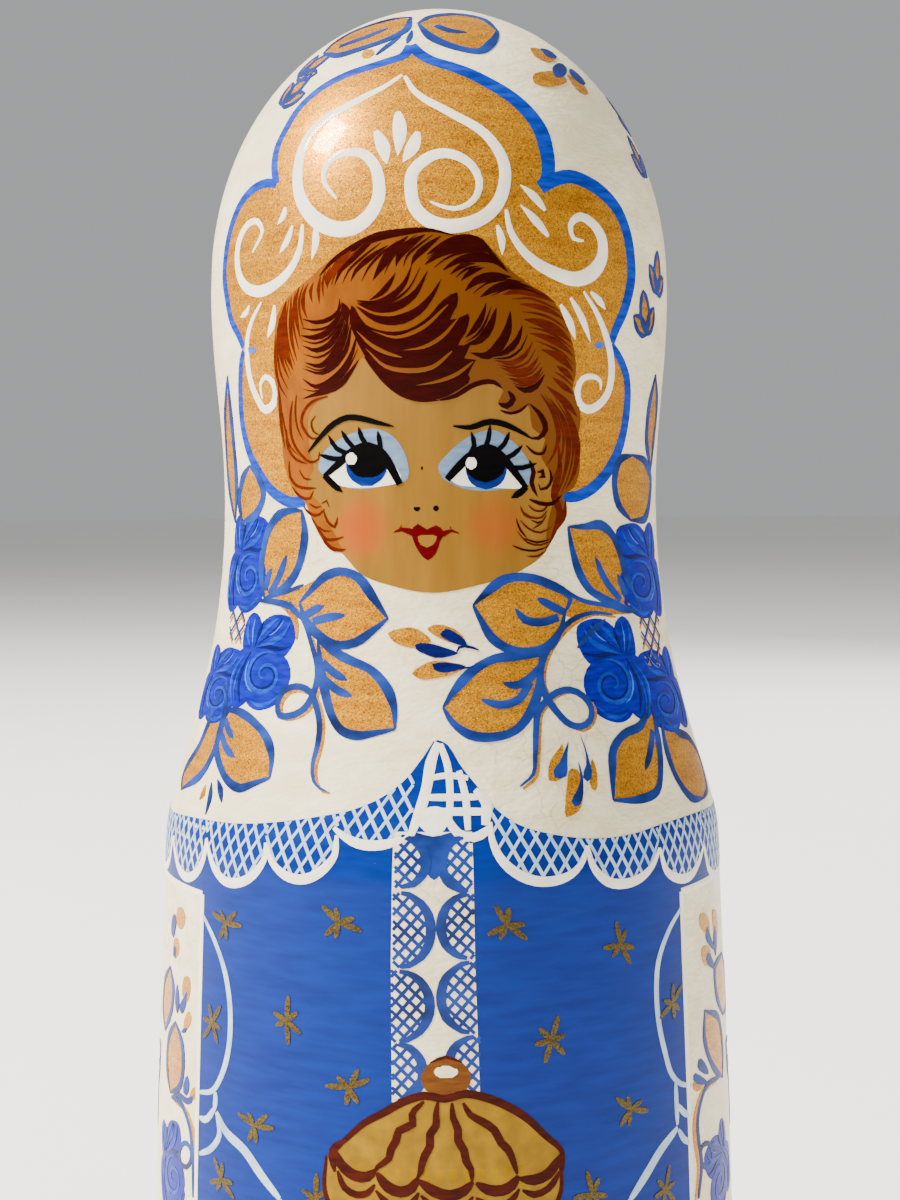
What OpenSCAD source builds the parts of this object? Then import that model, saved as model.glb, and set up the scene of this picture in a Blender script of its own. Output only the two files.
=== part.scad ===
// Nesting doll: ten turned limewood dolls of one shape, each standing inside the next.
// Nine are hollow and part at a seam into a top and a base. The tenth is solid.
// The origin is the centre of the largest doll's foot, +Z is up, and its face looks along -Y.

/* [Largest doll] */
// Height from foot to crown
doll_h = 330; // [310:1:350]
// Diameter of the foot
foot_d = 100; // [94:0.5:104]
// Diameter at the widest part of the skirt
skirt_d = 110; // [107:0.5:114]
// Height of the widest part of the skirt
skirt_z = 85; // [70:1:92]
// Diameter at the shoulder, where the skirt ends
shoulder_d = 103.8; // [100:0.2:106]
// Height of the shoulder
shoulder_z = 181; // [172:1:190]
// Diameter of the neck, the narrowest part under the head
neck_d = 80.8; // [79.6:0.2:82.4]
// Height of the neck
neck_z = 240; // [232:1:248]
// Diameter of the head at its widest
head_d = 85; // [83.4:0.2:86.2]
// Height of the widest part of the head
head_z = 278; // [268:1:286]

/* [Edges] */
// Rounding of the foot's edge
foot_round = 3; // [1:0.5:5]
// Length of the rounding on each side of the shoulder's corner
shoulder_round = 4; // [2:0.5:7]
// Bevel on both sides of the seam
seam_bevel = 0.4; // [0.2:0.1:0.8]

/* [Shells] */
// Height of the seam between base and top
seam_z = 95; // [88:1:100]
// Thickness of the base's floor
floor_t = 9; // [7:0.5:12]
// Wood left at the neck of every doll, its thinnest place
neck_wall = 2.5; // [2.1:0.1:2.7]
// Height of the spigot that the top slides over
spigot_h = 12; // [8:0.5:15]
// Bevel that leads the spigot into its socket
spigot_bevel = 0.8; // [0.4:0.1:1.2]

/* [Fits] */
// Clearance between a doll and the one around it
doll_gap = 0.6; // [0.4:0.05:0.7]
// Radial clearance between spigot and socket
fit_gap = 0.15; // [0.1:0.01:0.2]
// Clearance above the spigot, at the end of the socket
socket_slack = 0.8; // [0.4:0.1:1.2]

/* [Hidden] */
// Roundness of what is shown on screen
$fn = 96;
// Straight steps in each curve of the outline
long_steps = 10;
short_steps = 4;
crown_steps = 16;

// How far each curve runs on towards its corner, as shares of its height or radius
skirt_foot_shares = [0.35, 0.45];
skirt_shoulder_shares = [0.33, 0.33];
shoulder_neck_shares = [0.27, 0.44];
neck_head_shares = [0.4, 0.4];
crown_shares = [0.64, 0.47];
// Radius lost per unit of height just above the shoulder, and just below it
shoulder_slope_share = 0.3;
skirt_slope_share = 0.042;
// How far out the lower curve first leads from the foot, as a share of the step from foot to skirt
foot_flare_share = 0.35;
// Where the spigot's wall ends, between the hollow and the outside
joint_share = 0.5;

foot_r = foot_d / 2;
skirt_r = skirt_d / 2;
shoulder_r = shoulder_d / 2;
neck_r = neck_d / 2;
head_r = head_d / 2;

ordinals = ["outer", "second", "third", "fourth", "fifth", "sixth", "seventh", "eighth", "ninth"];
hollow_count = len(ordinals);

// A cubic curve through p[0] and p[3], without its first point.
function curve(p, steps) = [
    for (i = [1 : steps])
        let (t = i / steps, u = 1 - t)
        u * u * u * p[0] + 3 * u * u * t * p[1] + 3 * u * t * t * p[2] + t * t * t * p[3]
];

// A curve with one corner point, from a to b, without its first point.
function bend(a, corner, b, steps) = curve([a, (a + 2 * corner) / 3, (b + 2 * corner) / 3, b], steps);

// The largest doll's outline from the edge of the foot to the crown, as [radius, height].
foot_in = [foot_r - foot_round, 0];
foot_out = [foot_r, foot_round];
skirt_at = [skirt_r, skirt_z];
shoulder_at = [shoulder_r, shoulder_z];
under_shoulder = shoulder_at + shoulder_round * [skirt_slope_share, -1];
over_shoulder = shoulder_at + shoulder_round * [-shoulder_slope_share, 1];
neck_at = [neck_r, neck_z];
head_at = [head_r, head_z];
crown_at = [0, doll_h];

lower_rise = skirt_z - foot_round;
skirt_rise = under_shoulder.y - skirt_z;
bodice_rise = neck_z - over_shoulder.y;
head_rise = head_z - neck_z;
crown_rise = doll_h - head_z;

lower_curve = curve([
    foot_out,
    foot_out + [foot_flare_share * (skirt_r - foot_r), skirt_foot_shares[0] * lower_rise],
    skirt_at - [0, skirt_foot_shares[1] * lower_rise],
    skirt_at
], long_steps);
skirt_curve = curve([
    skirt_at,
    skirt_at + [0, skirt_shoulder_shares[0] * skirt_rise],
    under_shoulder + skirt_shoulder_shares[1] * skirt_rise * [skirt_slope_share, -1],
    under_shoulder
], long_steps);
bodice_curve = curve([
    over_shoulder,
    over_shoulder + shoulder_neck_shares[0] * bodice_rise * [-shoulder_slope_share, 1],
    neck_at - [0, shoulder_neck_shares[1] * bodice_rise],
    neck_at
], long_steps);
head_curve = curve([
    neck_at,
    neck_at + [0, neck_head_shares[0] * head_rise],
    head_at - [0, neck_head_shares[1] * head_rise],
    head_at
], long_steps);
crown_curve = curve([
    head_at,
    head_at + [0, crown_shares[0] * crown_rise],
    [crown_shares[1] * head_r, doll_h],
    crown_at
], crown_steps);

outline = concat(
    [foot_in],
    bend(foot_in, [foot_r, 0], foot_out, short_steps),
    lower_curve,
    skirt_curve,
    bend(under_shoulder, shoulder_at, over_shoulder, short_steps),
    bodice_curve,
    head_curve,
    crown_curve
);

// Each doll's size beside the largest: its head passes the neck of the doll around it.
function size_of(n) = n == 0 ? 1 : (neck_r * size_of(n - 1) - neck_wall - doll_gap) / head_r;

// Height of each doll's foot: it stands on the floor of the doll around it.
function foot_z(n) = n == 0 ? 0 : foot_z(n - 1) + floor_t * size_of(n - 1);

// The outline of doll n in its place.
function outline_of(n) = [for (p = outline) size_of(n) * p + [0, foot_z(n)]];

// The radius at a height on an outline whose points rise.
function radius_at(points, z) = lookup(z, [for (p = points) [p.y, p.x]]);

// The widest radius among some points.
function widest(points) = max([for (p = points) p.x]);

// The hollow around doll n above a height: its outline and the gap, never wider further up.
function hollow_above(n, z) =
    let (raised = [for (p = outline_of(n)) if (p.y > z) p + [0, doll_gap]])
    let (points = concat([[radius_at(outline_of(n), z), z]], raised))
    let (last = len(points) - 1)
    [for (i = [0 : last]) [widest([for (j = [i : last]) points[j]]) + doll_gap, points[i].y]];

// The hollow around doll n below a height: its outline and the gap, never narrower further up.
function hollow_below(n, z) =
    let (lower = [for (p = outline_of(n)) if (p.y < z) p])
    let (points = concat(lower, [[radius_at(outline_of(n), z), z]]))
    [for (i = [0 : len(points) - 1]) [widest([for (j = [0 : i]) points[j]]) + doll_gap, points[i].y]];

function seam_of(n) = foot_z(n) + seam_z * size_of(n);
function spigot_top(n) = seam_of(n) + spigot_h * size_of(n);
function socket_top(n) = spigot_top(n) + socket_slack * size_of(n);
function spigot_r(n) =
    let (inside = hollow_below(n + 1, spigot_top(n)))
    let (hollow_r = inside[len(inside) - 1].x, outside_r = radius_at(outline_of(n), seam_of(n)))
    hollow_r + joint_share * (outside_r - hollow_r);

// The upper half of doll n: crown, head and bodice over a hollow, with the socket at its mouth.
module doll_top(n) {
    points = outline_of(n);
    seam = seam_of(n);
    bevel = seam_bevel * size_of(n);
    mouth_r = radius_at(points, seam) - bevel;
    outside = [for (p = points) if (p.y > seam + bevel) p];
    inside = hollow_above(n + 1, socket_top(n));
    socket_r = spigot_r(n) + fit_gap;
    color("ivory")
    rotate_extrude()
    polygon(concat(
        [[socket_r, seam], [mouth_r, seam], [radius_at(points, seam + bevel), seam + bevel]],
        outside,
        [[0, inside[len(inside) - 1].y]],
        [for (i = [len(inside) - 1 : -1 : 0]) inside[i]],
        [[socket_r, socket_top(n)]]
    ));
}

// The lower half of doll n: a cup with a thick floor and the spigot above its seam.
module doll_base(n) {
    points = outline_of(n);
    seam = seam_of(n);
    bevel = seam_bevel * size_of(n);
    lead = spigot_bevel * size_of(n);
    rim_r = radius_at(points, seam) - bevel;
    outside = [for (p = points) if (p.y < seam - bevel) p];
    inside = hollow_below(n + 1, spigot_top(n));
    color("royalblue")
    rotate_extrude()
    polygon(concat(
        [[0, foot_z(n)]],
        outside,
        [[radius_at(points, seam - bevel), seam - bevel], [rim_r, seam]],
        [[spigot_r(n), seam], [spigot_r(n), spigot_top(n) - lead], [spigot_r(n) - lead, spigot_top(n)]],
        [for (i = [len(inside) - 1 : -1 : 0]) inside[i]],
        [[0, foot_z(n + 1)]]
    ));
}

// The smallest doll, turned solid in one piece.
module smallest_doll() {
    points = outline_of(hollow_count);
    color("ivory")
    rotate_extrude()
    polygon(concat([[0, points[0].y]], points));
}

for (n = [0 : hollow_count - 1]) {
    doll_top(n);
    doll_base(n);
}
smallest_doll();  // tenth_doll
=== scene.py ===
"""A painted nesting doll: ten turned limewood dolls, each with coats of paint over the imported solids."""

import math

import bmesh
import bpy
import numpy as np
from mathutils import Euler, Matrix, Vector
from mathutils.geometry import delaunay_2d_cdt


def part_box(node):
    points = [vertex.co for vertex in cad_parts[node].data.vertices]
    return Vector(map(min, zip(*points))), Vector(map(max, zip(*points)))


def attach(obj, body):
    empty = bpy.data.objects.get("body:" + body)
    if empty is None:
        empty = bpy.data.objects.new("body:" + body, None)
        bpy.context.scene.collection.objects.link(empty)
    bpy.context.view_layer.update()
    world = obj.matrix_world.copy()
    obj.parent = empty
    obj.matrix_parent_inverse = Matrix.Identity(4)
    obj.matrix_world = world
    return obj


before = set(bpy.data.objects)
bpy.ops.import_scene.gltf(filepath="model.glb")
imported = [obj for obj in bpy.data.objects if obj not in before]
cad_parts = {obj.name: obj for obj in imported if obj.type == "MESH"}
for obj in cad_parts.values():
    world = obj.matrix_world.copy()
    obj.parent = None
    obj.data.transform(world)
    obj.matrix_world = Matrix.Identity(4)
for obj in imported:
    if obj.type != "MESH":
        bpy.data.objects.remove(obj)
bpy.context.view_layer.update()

# The camera of the photograph, with its principal point in the middle of the 900 x 1200 picture
PICTURE_W, PICTURE_H = 900, 1200
LENS, SENSOR = 54.0, 36.0
EYE = (0.0017, -0.3413, 0.2383)
PITCH, ROLL = math.radians(2.95), math.radians(0.33)
# The side of the doll that the eye sees lies between these distances from it, in millimetres
NEAR, FAR = 250, 345

# A millimetre in metres, and a pixel of the picture on the doll's front in millimetres
MM = 0.001
PIXEL = 0.168

# Bare wood beside the seam and above the foot, and the thickness of a film of paint, in millimetres
SEAM_LINE = 0.45
FOOT_LINE = 1.2
FILM = 0.12

# How far each layer of paint stands off the wood, in millimetres
GROUND, SKIRT, FIELD, COVER, LINE, RELIEF, TOUCH, GLINT = 0.06, 0.09, 0.12, 0.15, 0.18, 0.21, 0.24, 0.27
LAYER = 0.03
# What keeps marks of one layer apart where they cross
NUDGE = 0.01
# How far the middle of a flat and of a raised stroke stands over its edges
FLAT, RAISED = 0.012, 0.05
# Widths of a stroke's two ends, as shares of its width, and the share of its length that narrows
SOFT, FIRM, BLUNT, SQUARE = (0.3, 0.3), (0.8, 0.8), (0.9, 0.9), (1, 1)
TAPER = 0.3
# Spacing of the points inside a coat, in steps of the brush
GRID, FINE_GRID = 1.6, 1.1

ORDINALS = ["outer", "second", "third", "fourth", "fifth", "sixth", "seventh", "eighth", "ninth"]
HALVES = [(f"{name}_doll_top", f"{name}_doll_base") for name in ORDINALS]
DOLLS = HALVES + [("tenth_doll", "tenth_doll")]


# The turned shape and its chart

def turned_outline(node):
    """Radius and height of a solid doll's rings, crown first, as shares of its own height."""
    points = np.array([v.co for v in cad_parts[node].data.vertices])
    low, high = points[:, 2].min(), points[:, 2].max()
    heights = np.round((points[:, 2] - low) / (high - low), 5)
    radii = np.hypot(points[:, 0], points[:, 1]) / (high - low)
    levels = np.unique(heights)[::-1]
    return np.array([(radii[heights == level].max(), level) for level in levels])


def spline(points, step, closed=False):
    """Points about one step apart on a smooth curve through the given ones."""
    points = np.asarray(points, float)
    if closed:
        points = np.vstack([points[-1:], points, points[:2]])
    else:
        points = np.vstack([2 * points[0] - points[1], points, 2 * points[-1] - points[-2]])
    gaps = np.maximum(np.hypot(*np.diff(points, axis=0).T), 1e-9)[:, None]
    slopes = np.diff(points, axis=0) / gaps
    tangents = (slopes[:-1] * gaps[1:] + slopes[1:] * gaps[:-1]) / (gaps[:-1] + gaps[1:])
    line = []
    for i in range(1, len(points) - 2):
        gap = gaps[i, 0]
        u = np.linspace(0, 1, max(2, math.ceil(gap / step) + 1))[:-1, None]
        line.append(
            (2 * u**3 - 3 * u**2 + 1) * points[i]
            + (u**3 - 2 * u**2 + u) * gap * tangents[i - 1]
            + (3 * u**2 - 2 * u**3) * points[i + 1]
            + (u**3 - u**2) * gap * tangents[i]
        )
    if not closed:
        line.append(points[-2:-1])
    return np.vstack(line)


def corners(node):
    """The lowest and highest level of a turned piece, in millimetres."""
    low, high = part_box(node)
    return low.z / MM, high.z / MM


FOOT_Z, CROWN_Z = corners("outer_doll_base")[0], corners("outer_doll_top")[1]
DOLL_H = CROWN_Z - FOOT_Z
profile = spline(turned_outline("tenth_doll") * DOLL_H, 0.25)
WAYS = np.concatenate([[0], np.cumsum(np.hypot(*np.diff(profile, axis=0).T))])
RADII, HEIGHTS = np.maximum(profile[:, 0], 0), profile[:, 1]
slope = np.gradient(profile, WAYS, axis=0)
slope /= np.hypot(*slope.T)[:, None]
OUTWARD = np.column_stack([-slope[:, 1], slope[:, 0]])


def radius_at(way):
    """The largest doll's radius at a way down its outline, never quite nothing at the crown."""
    return np.maximum(np.interp(way, WAYS, RADII), 0.5)


def way_at(height):
    """The way down the outline from the crown to a height on the largest doll."""
    return np.interp(height, HEIGHTS[::-1], WAYS[::-1])


def place(x, height):
    """A chart point given by its distance to the side of the front, along the surface, and its height."""
    way = way_at(height)
    return x / radius_at(way), way


def charted(points, side=1):
    """Chart points from pairs of distance and height, mirrored if the side is -1."""
    return [place(side * x, height) for x, height in points]


def camera_matrix():
    """The place and turn of the photograph's camera."""
    turn = Euler((math.pi / 2 - PITCH, 0, 0)).to_matrix().to_4x4()
    return Matrix.Translation(EYE) @ turn @ Matrix.Rotation(-ROLL, 4, "Z")


def xy(*numbers):
    """Picture points from their x and y in turn."""
    return np.reshape(numbers, (-1, 2))


def spot(pixels):
    """Chart points of the largest doll that lie behind points of the picture."""
    pixels = np.asarray(pixels, float)
    focal = LENS / SENSOR * PICTURE_H
    rays = np.column_stack([
        (pixels[:, 0] - PICTURE_W / 2) / focal,
        (PICTURE_H / 2 - pixels[:, 1]) / focal,
        -np.ones(len(pixels)),
    ]) @ np.array(camera_matrix().to_3x3()).T
    eye = np.array(EYE) / MM

    def clear(reach):
        at = eye + rays * reach[..., None]
        return np.hypot(at[..., 0], at[..., 1]) - np.interp(at[..., 2], HEIGHTS[::-1], RADII[::-1], right=0)

    tries, halvings = 400, 30
    steps = np.linspace(NEAR, FAR, tries)[:, None] * np.ones(len(pixels))
    gaps = clear(steps)
    first = np.where((gaps < 0).any(0), (gaps < 0).argmax(0), gaps.argmin(0))
    columns = np.arange(len(pixels))
    far = steps[first, columns]
    near = steps[np.maximum(first - 1, 0), columns]
    for _ in range(halvings):
        middle = (near + far) / 2
        inside = clear(middle) < 0
        near, far = np.where(inside, near, middle), np.where(inside, middle, far)
    at = eye + rays * far[:, None]
    flat = np.hypot(at[:, 0], at[:, 1])
    nearest = ((RADII - flat[:, None]) ** 2 + (HEIGHTS - at[:, 2, None]) ** 2).argmin(1)
    return np.column_stack([np.arctan2(at[:, 0], -at[:, 1]), WAYS[nearest]])


def oval(x, y, wide, tall, count=24):
    """Picture points round an oval with the given half width and half height."""
    angles = np.linspace(0, 2 * math.pi, count, endpoint=False)
    return np.column_stack([x + wide * np.cos(angles), y + tall * np.sin(angles)])


def local(origin, points, turn=0.0):
    """Chart points round an origin, from millimetres to the right and up that are turned first."""
    x, y = np.asarray(points, float).T
    across = x * math.cos(turn) - y * math.sin(turn)
    up = x * math.sin(turn) + y * math.cos(turn)
    return np.column_stack([origin[0] + across / radius_at(origin[1]), origin[1] - up])


def scallop(count):
    """Even shares from 0 to 1, and how far a round scallop hangs at each, as a share of its depth."""
    shares = np.linspace(0, 1, count)
    return shares, np.sqrt(1 - (2 * shares - 1) ** 2)


# The brush

class Brush:
    """Lays coats of paint on the chart of one doll: azimuth, way down the outline and lift off the wood."""

    def __init__(self, step, fine):
        self.step = step
        self.fine = fine
        self.turn = 0.0
        self.coats = {}

    def lay(self, coat, chart, faces):
        """Adds faces that run clockwise on the chart, seen from outside."""
        places, polygons = self.coats.setdefault(coat, ([], []))
        first = sum(len(p) for p in places)
        places.append(np.asarray(chart) + (self.turn, 0, 0))
        polygons.append(np.asarray(faces)[:, ::-1] + first)

    def flow(self, points, closed=False):
        """A smooth chart curve through chart points."""
        points = np.asarray(points, float)
        scale = (radius_at(points[:, 1].mean()), 1)
        return spline(points * scale, self.step, closed) / scale

    def stroke(self, coat, points, width, lift=LINE, dome=FLAT, ends=SOFT, smooth=True):
        """A ribbon of paint along chart points. Its ends narrow to the given shares of the width."""
        line = self.flow(points) if smooth else np.asarray(points, float)
        reach = radius_at(line[:, 1])
        tangent = np.column_stack([np.gradient(line[:, 0]) * reach, np.gradient(line[:, 1])])
        tangent /= np.maximum(np.hypot(*tangent.T), 1e-9)[:, None]
        t = np.linspace(0, 1, len(line))
        swell = np.minimum(
            ends[0] + (1 - ends[0]) * np.sqrt(np.minimum(t / TAPER, 1)),
            ends[1] + (1 - ends[1]) * np.sqrt(np.minimum((1 - t) / TAPER, 1)),
        )
        half = np.interp(t, np.linspace(0, 1, np.size(width)), np.atleast_1d(width)) * swell / 2
        across = np.array([-1, 0, 1] if dome < RAISED else [-1, -0.6, 0, 0.6, 1])
        rise = (1 - across**2) * dome
        chart = np.stack([
            line[:, :1] - tangent[:, 1:] * half[:, None] * across / reach[:, None],
            line[:, 1:] + tangent[:, :1] * half[:, None] * across,
            lift + rise * np.minimum(1, swell)[:, None],
        ], axis=-1)
        rows, columns = chart.shape[:2]
        at = np.arange(rows * columns).reshape(rows, columns)
        faces = np.stack([at[:-1, :-1], at[1:, :-1], at[1:, 1:], at[:-1, 1:]], axis=-1).reshape(-1, 4)
        self.lay(coat, chart.reshape(-1, 3), faces)

    def fill(self, coat, loop, lift=FIELD, spacing=GRID):
        """A flat coat inside a closed loop of chart points."""
        loop = np.asarray(loop, float)
        scale = np.array([radius_at(loop[:, 1].mean()), 1])
        rim = loop * scale
        low, high = rim.min(0), rim.max(0)
        gap = min(self.step * spacing, (high - low).min() / 3)
        grid = np.stack(np.meshgrid(
            np.arange(low[0] + gap / 2, high[0], gap), np.arange(low[1] + gap / 2, high[1], gap)
        ), axis=-1).reshape(-1, 2)
        inner = grid[inside(rim, grid, gap * 0.4)]
        points = np.vstack([rim, inner])
        found = delaunay_2d_cdt([p.tolist() for p in points], [], [list(range(len(rim)))], 1, 1e-6)
        flat = np.array([tuple(v) for v in found[0]])
        chart = np.column_stack([flat / scale, np.full(len(flat), lift)])
        self.lay(coat, chart, [tuple(face) for face in found[2]])

    def sheet(self, coat, azimuths, tops, bottoms, rows, lift, closed=False):
        """A coat between two heights over a row of azimuths, all round the doll if closed."""
        share = np.linspace(0, 1, rows)[:, None]
        ways = tops + (bottoms - tops) * share
        chart = np.stack([np.broadcast_to(azimuths, ways.shape), ways, np.full(ways.shape, lift)], axis=-1)
        at = np.arange(ways.size).reshape(ways.shape)
        if closed:
            at = np.column_stack([at, at[:, 0]])
        faces = np.stack([at[:-1, :-1], at[:-1, 1:], at[1:, 1:], at[1:, :-1]], axis=-1).reshape(-1, 4)
        self.lay(coat, chart.reshape(-1, 3), faces)

    def hatch(self, coat, loop, spacing, width, lift, angle):
        """Straight lines across a loop of chart points, at an angle to the level."""
        scale = np.array([radius_at(loop[:, 1].mean()), 1])
        turn = np.array([[math.cos(angle), -math.sin(angle)], [math.sin(angle), math.cos(angle)]])
        rim = loop * scale @ turn
        after = np.roll(rim, -1, axis=0)
        for level in np.arange(rim[:, 1].min() + spacing / 2, rim[:, 1].max(), spacing):
            cut = (rim[:, 1] <= level) != (after[:, 1] <= level)
            share = (level - rim[cut, 1]) / (after[cut, 1] - rim[cut, 1])
            marks = np.sort(rim[cut, 0] + share * (after[cut, 0] - rim[cut, 0]))
            for start, end in zip(marks[::2], marks[1::2]):
                count = max(2, math.ceil((end - start) / (2 * self.step)) + 1)
                line = np.column_stack([np.linspace(start, end, count), np.full(count, level)])
                self.stroke(coat, line @ turn.T / scale, width, lift, ends=BLUNT, smooth=False)


def inside(loop, points, margin):
    """Which points lie inside a loop, at least a margin from its corners."""
    after = np.roll(loop, -1, axis=0)
    x, y = points[:, :1], points[:, 1:]
    rises = (loop[:, 1] <= y) != (after[:, 1] <= y)
    with np.errstate(divide="ignore", invalid="ignore"):
        at = loop[:, 0] + (y - loop[:, 1]) / (after[:, 1] - loop[:, 1]) * (after[:, 0] - loop[:, 0])
    within = ((rises & (x < at)).sum(1) % 2).astype(bool)
    if len(points):
        within &= np.hypot(x - loop[:, 0], y - loop[:, 1]).min(1) > margin
    return within


def line_of(b, coat, pixels, width, lift=LINE, dome=FLAT, ends=SOFT):
    """A stroke along picture points, with its width in pixels."""
    b.stroke(coat, spot(pixels), np.multiply(width, PIXEL), lift, dome, ends)


def lines_of(b, coat, strokes, lift=LINE, dome=FLAT, ends=SOFT):
    """Strokes of one coat, given as pairs of picture points and width."""
    for path, width in strokes:
        line_of(b, coat, path, width, lift, dome, ends)


def blot(b, coat, pixels, lift=FIELD):
    """A filled shape with a smooth rim through picture points."""
    b.fill(coat, b.flow(spot(pixels), closed=True), lift)


def dabs(b, marks, lift=LINE):
    """Filled brush marks in picture points: gold ones below and dark ones over them."""
    for coat, pixels in marks:
        blot(b, coat, pixels, lift if coat == "gold" else lift + LAYER)


# Motifs

def leaf(b, upper, lower, veins=(), width=8.5):
    """A gold leaf between two edges of chart points, from base to tip and back, with an outline and veins."""
    upper, lower = b.flow(upper), b.flow(lower)
    b.fill("gold", np.vstack([upper[:-1], lower[:-1]]), FIELD)
    pressed = np.array([0.7, 1.2, 1.0, 1.3, 0.6]) * width * PIXEL
    for edge in (upper, lower):
        b.stroke("outline", edge, pressed, LINE, ends=(0.4, 0.4), smooth=False)
    for vein in veins:
        b.stroke("outline", vein, width * PIXEL, LINE, ends=(0.9, 0.2))


def grown_leaf(b, origin, length, width, turn, veined=True):
    """A leaf of a plain shape that grows from an origin on the chart, turned by degrees."""
    turn = math.radians(turn)
    edge = np.array([(0, 0), (0.25, 0.42), (0.55, 0.5), (0.85, 0.25), (1, 0)]) * (length, width)
    upper = local(origin, edge, turn)
    lower = local(origin, edge[::-1] * (1, -1), turn)
    vein = local(origin, np.array([(0.08, 0), (0.35, 0.04), (0.6, 0)]) * (length, width), turn)
    leaf(b, upper, lower, [vein] if veined else [], 5.0)


def rose(b, centre, wide, tall, turn=0.0):
    """A rose about a chart point: petals behind a swirl, with half its width and height in millimetres."""
    side = -1 if centre[0] > 0 else 1
    size = min(wide, tall)

    def at(points):
        return local(centre, np.multiply(points, (side * wide, tall)), turn)

    def swirl(reach, start, span, count):
        angles = np.radians(np.linspace(start, start + span, count))
        shares = np.linspace(*reach, count)[:, None]
        return at(np.column_stack([np.cos(angles) * 0.72, np.sin(angles) * 0.54]) * shares + (0.26, -0.24))

    petals = [
        [(-0.62, 0.2), (-0.7, 0.6), (-0.58, 0.9), (-0.38, 1), (-0.14, 0.9), (0, 0.54), (-0.15, 0.1)],
        [(-0.25, 0.05), (-0.12, 0.72), (0.16, 0.93), (0.62, 0.98), (0.96, 0.86), (1, 0.6), (0.8, 0.2),
         (0.3, 0)],
        [(-0.6, 0.26), (-0.92, 0.04), (-1, -0.36), (-0.86, -0.8), (-0.6, -0.98), (-0.26, -0.88), (0, -0.4),
         (-0.2, 0.2)],
        [(-0.3, -0.4), (-0.16, -0.84), (0.16, -0.96), (0.56, -0.88), (0.9, -0.6), (0.6, -0.2)],
    ]
    petal_step = 0.006
    for k, petal in enumerate(petals):
        b.fill("rose", b.flow(at(petal), closed=True), FIELD + petal_step * k)
    b.fill("rose", swirl((1, 1), 0, 342, 20), COVER)
    touches = [
        ("cobalt", [(-0.12, 0.3), (0.3, 0.42), (0.66, 0.6), (0.82, 0.84)], 0.13),
        ("cobalt", [(-0.14, 0.4), (0.06, 0.64), (0.3, 0.82), (0.5, 0.92)], 0.1),
        ("cobalt", [(-0.36, 0.3), (-0.54, 0.58), (-0.5, 0.86)], 0.11),
        ("cobalt", [(-0.52, 0.12), (-0.82, -0.2), (-0.84, -0.6), (-0.68, -0.88)], 0.12),
        ("cobalt", [(-0.06, -0.78), (0.2, -0.86), (0.54, -0.78), (0.76, -0.6)], 0.1),
        ("navy", [(-0.12, 0.28), (0.2, 0.32), (0.6, 0.3), (0.88, 0.36)], 0.1),
        ("navy", [(-0.2, 0.3), (-0.1, 0.6), (0, 0.84)], 0.09),
        ("navy", [(-0.3, 0.2), (-0.5, -0.1), (-0.56, -0.5), (-0.4, -0.84)], 0.1),
    ]
    fine_touches = [
        ("sky", [(0.1, 0.5), (0.44, 0.66), (0.64, 0.88)], 0.04),
        ("navy", [(-0.1, 0.36), (0.2, 0.54), (0.48, 0.76), (0.56, 0.92)], 0.05),
        ("cobalt", [(-0.44, 0.04), (-0.68, -0.3), (-0.7, -0.64), (-0.56, -0.9)], 0.06),
        ("sky", [(-0.66, 0.02), (-0.9, -0.34), (-0.84, -0.7)], 0.04),
        ("sky", [(-0.28, 0.34), (-0.34, 0.64), (-0.3, 0.9)], 0.05),
    ]
    for coat, points, width in touches + (fine_touches if b.fine else []):
        b.stroke(coat, at(points), size * np.array([0.3, 1, 0.4]) * width, LINE, ends=(0.2, 0.2))
    swirls = [
        ("cobalt", swirl((0.9, 0.12), 60, 560, 28), [0.04, 0.13, 0.1, 0.05], LINE + NUDGE, (0.1, 0.3)),
        ("navy", swirl((0.78, 0.2), 90, 420, 22), [0.03, 0.07, 0.04], LINE + NUDGE, (0.1, 0.1)),
        ("sky", swirl((0.92, 0.8), 150, 90, 7), [0.05], RELIEF, (0.1, 0.1)),
    ]
    for coat, points, widths, lift, ends in swirls if b.fine else swirls[:1]:
        b.stroke(coat, points, size * np.array(widths), lift, ends=ends)


def star(b, centre, size, turn):
    """A star of six uneven bronze brush marks."""
    arms, mark_step = 6, 0.004
    for k in range(arms):
        arm = turn + k * math.pi / 3 + 0.22 * math.sin(3.1 * k + 5 * turn)
        reach = size * (0.95 + 0.25 * math.sin(2.3 * k + 3 * turn))
        marks = local(centre, np.outer((0, 0.5, 1), (math.cos(arm), math.sin(arm))) * reach)
        b.stroke("bronze", marks, size * np.array([0.2, 0.3, 0.26]), LINE + mark_step * k, ends=(0.6, 0.5))


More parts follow.
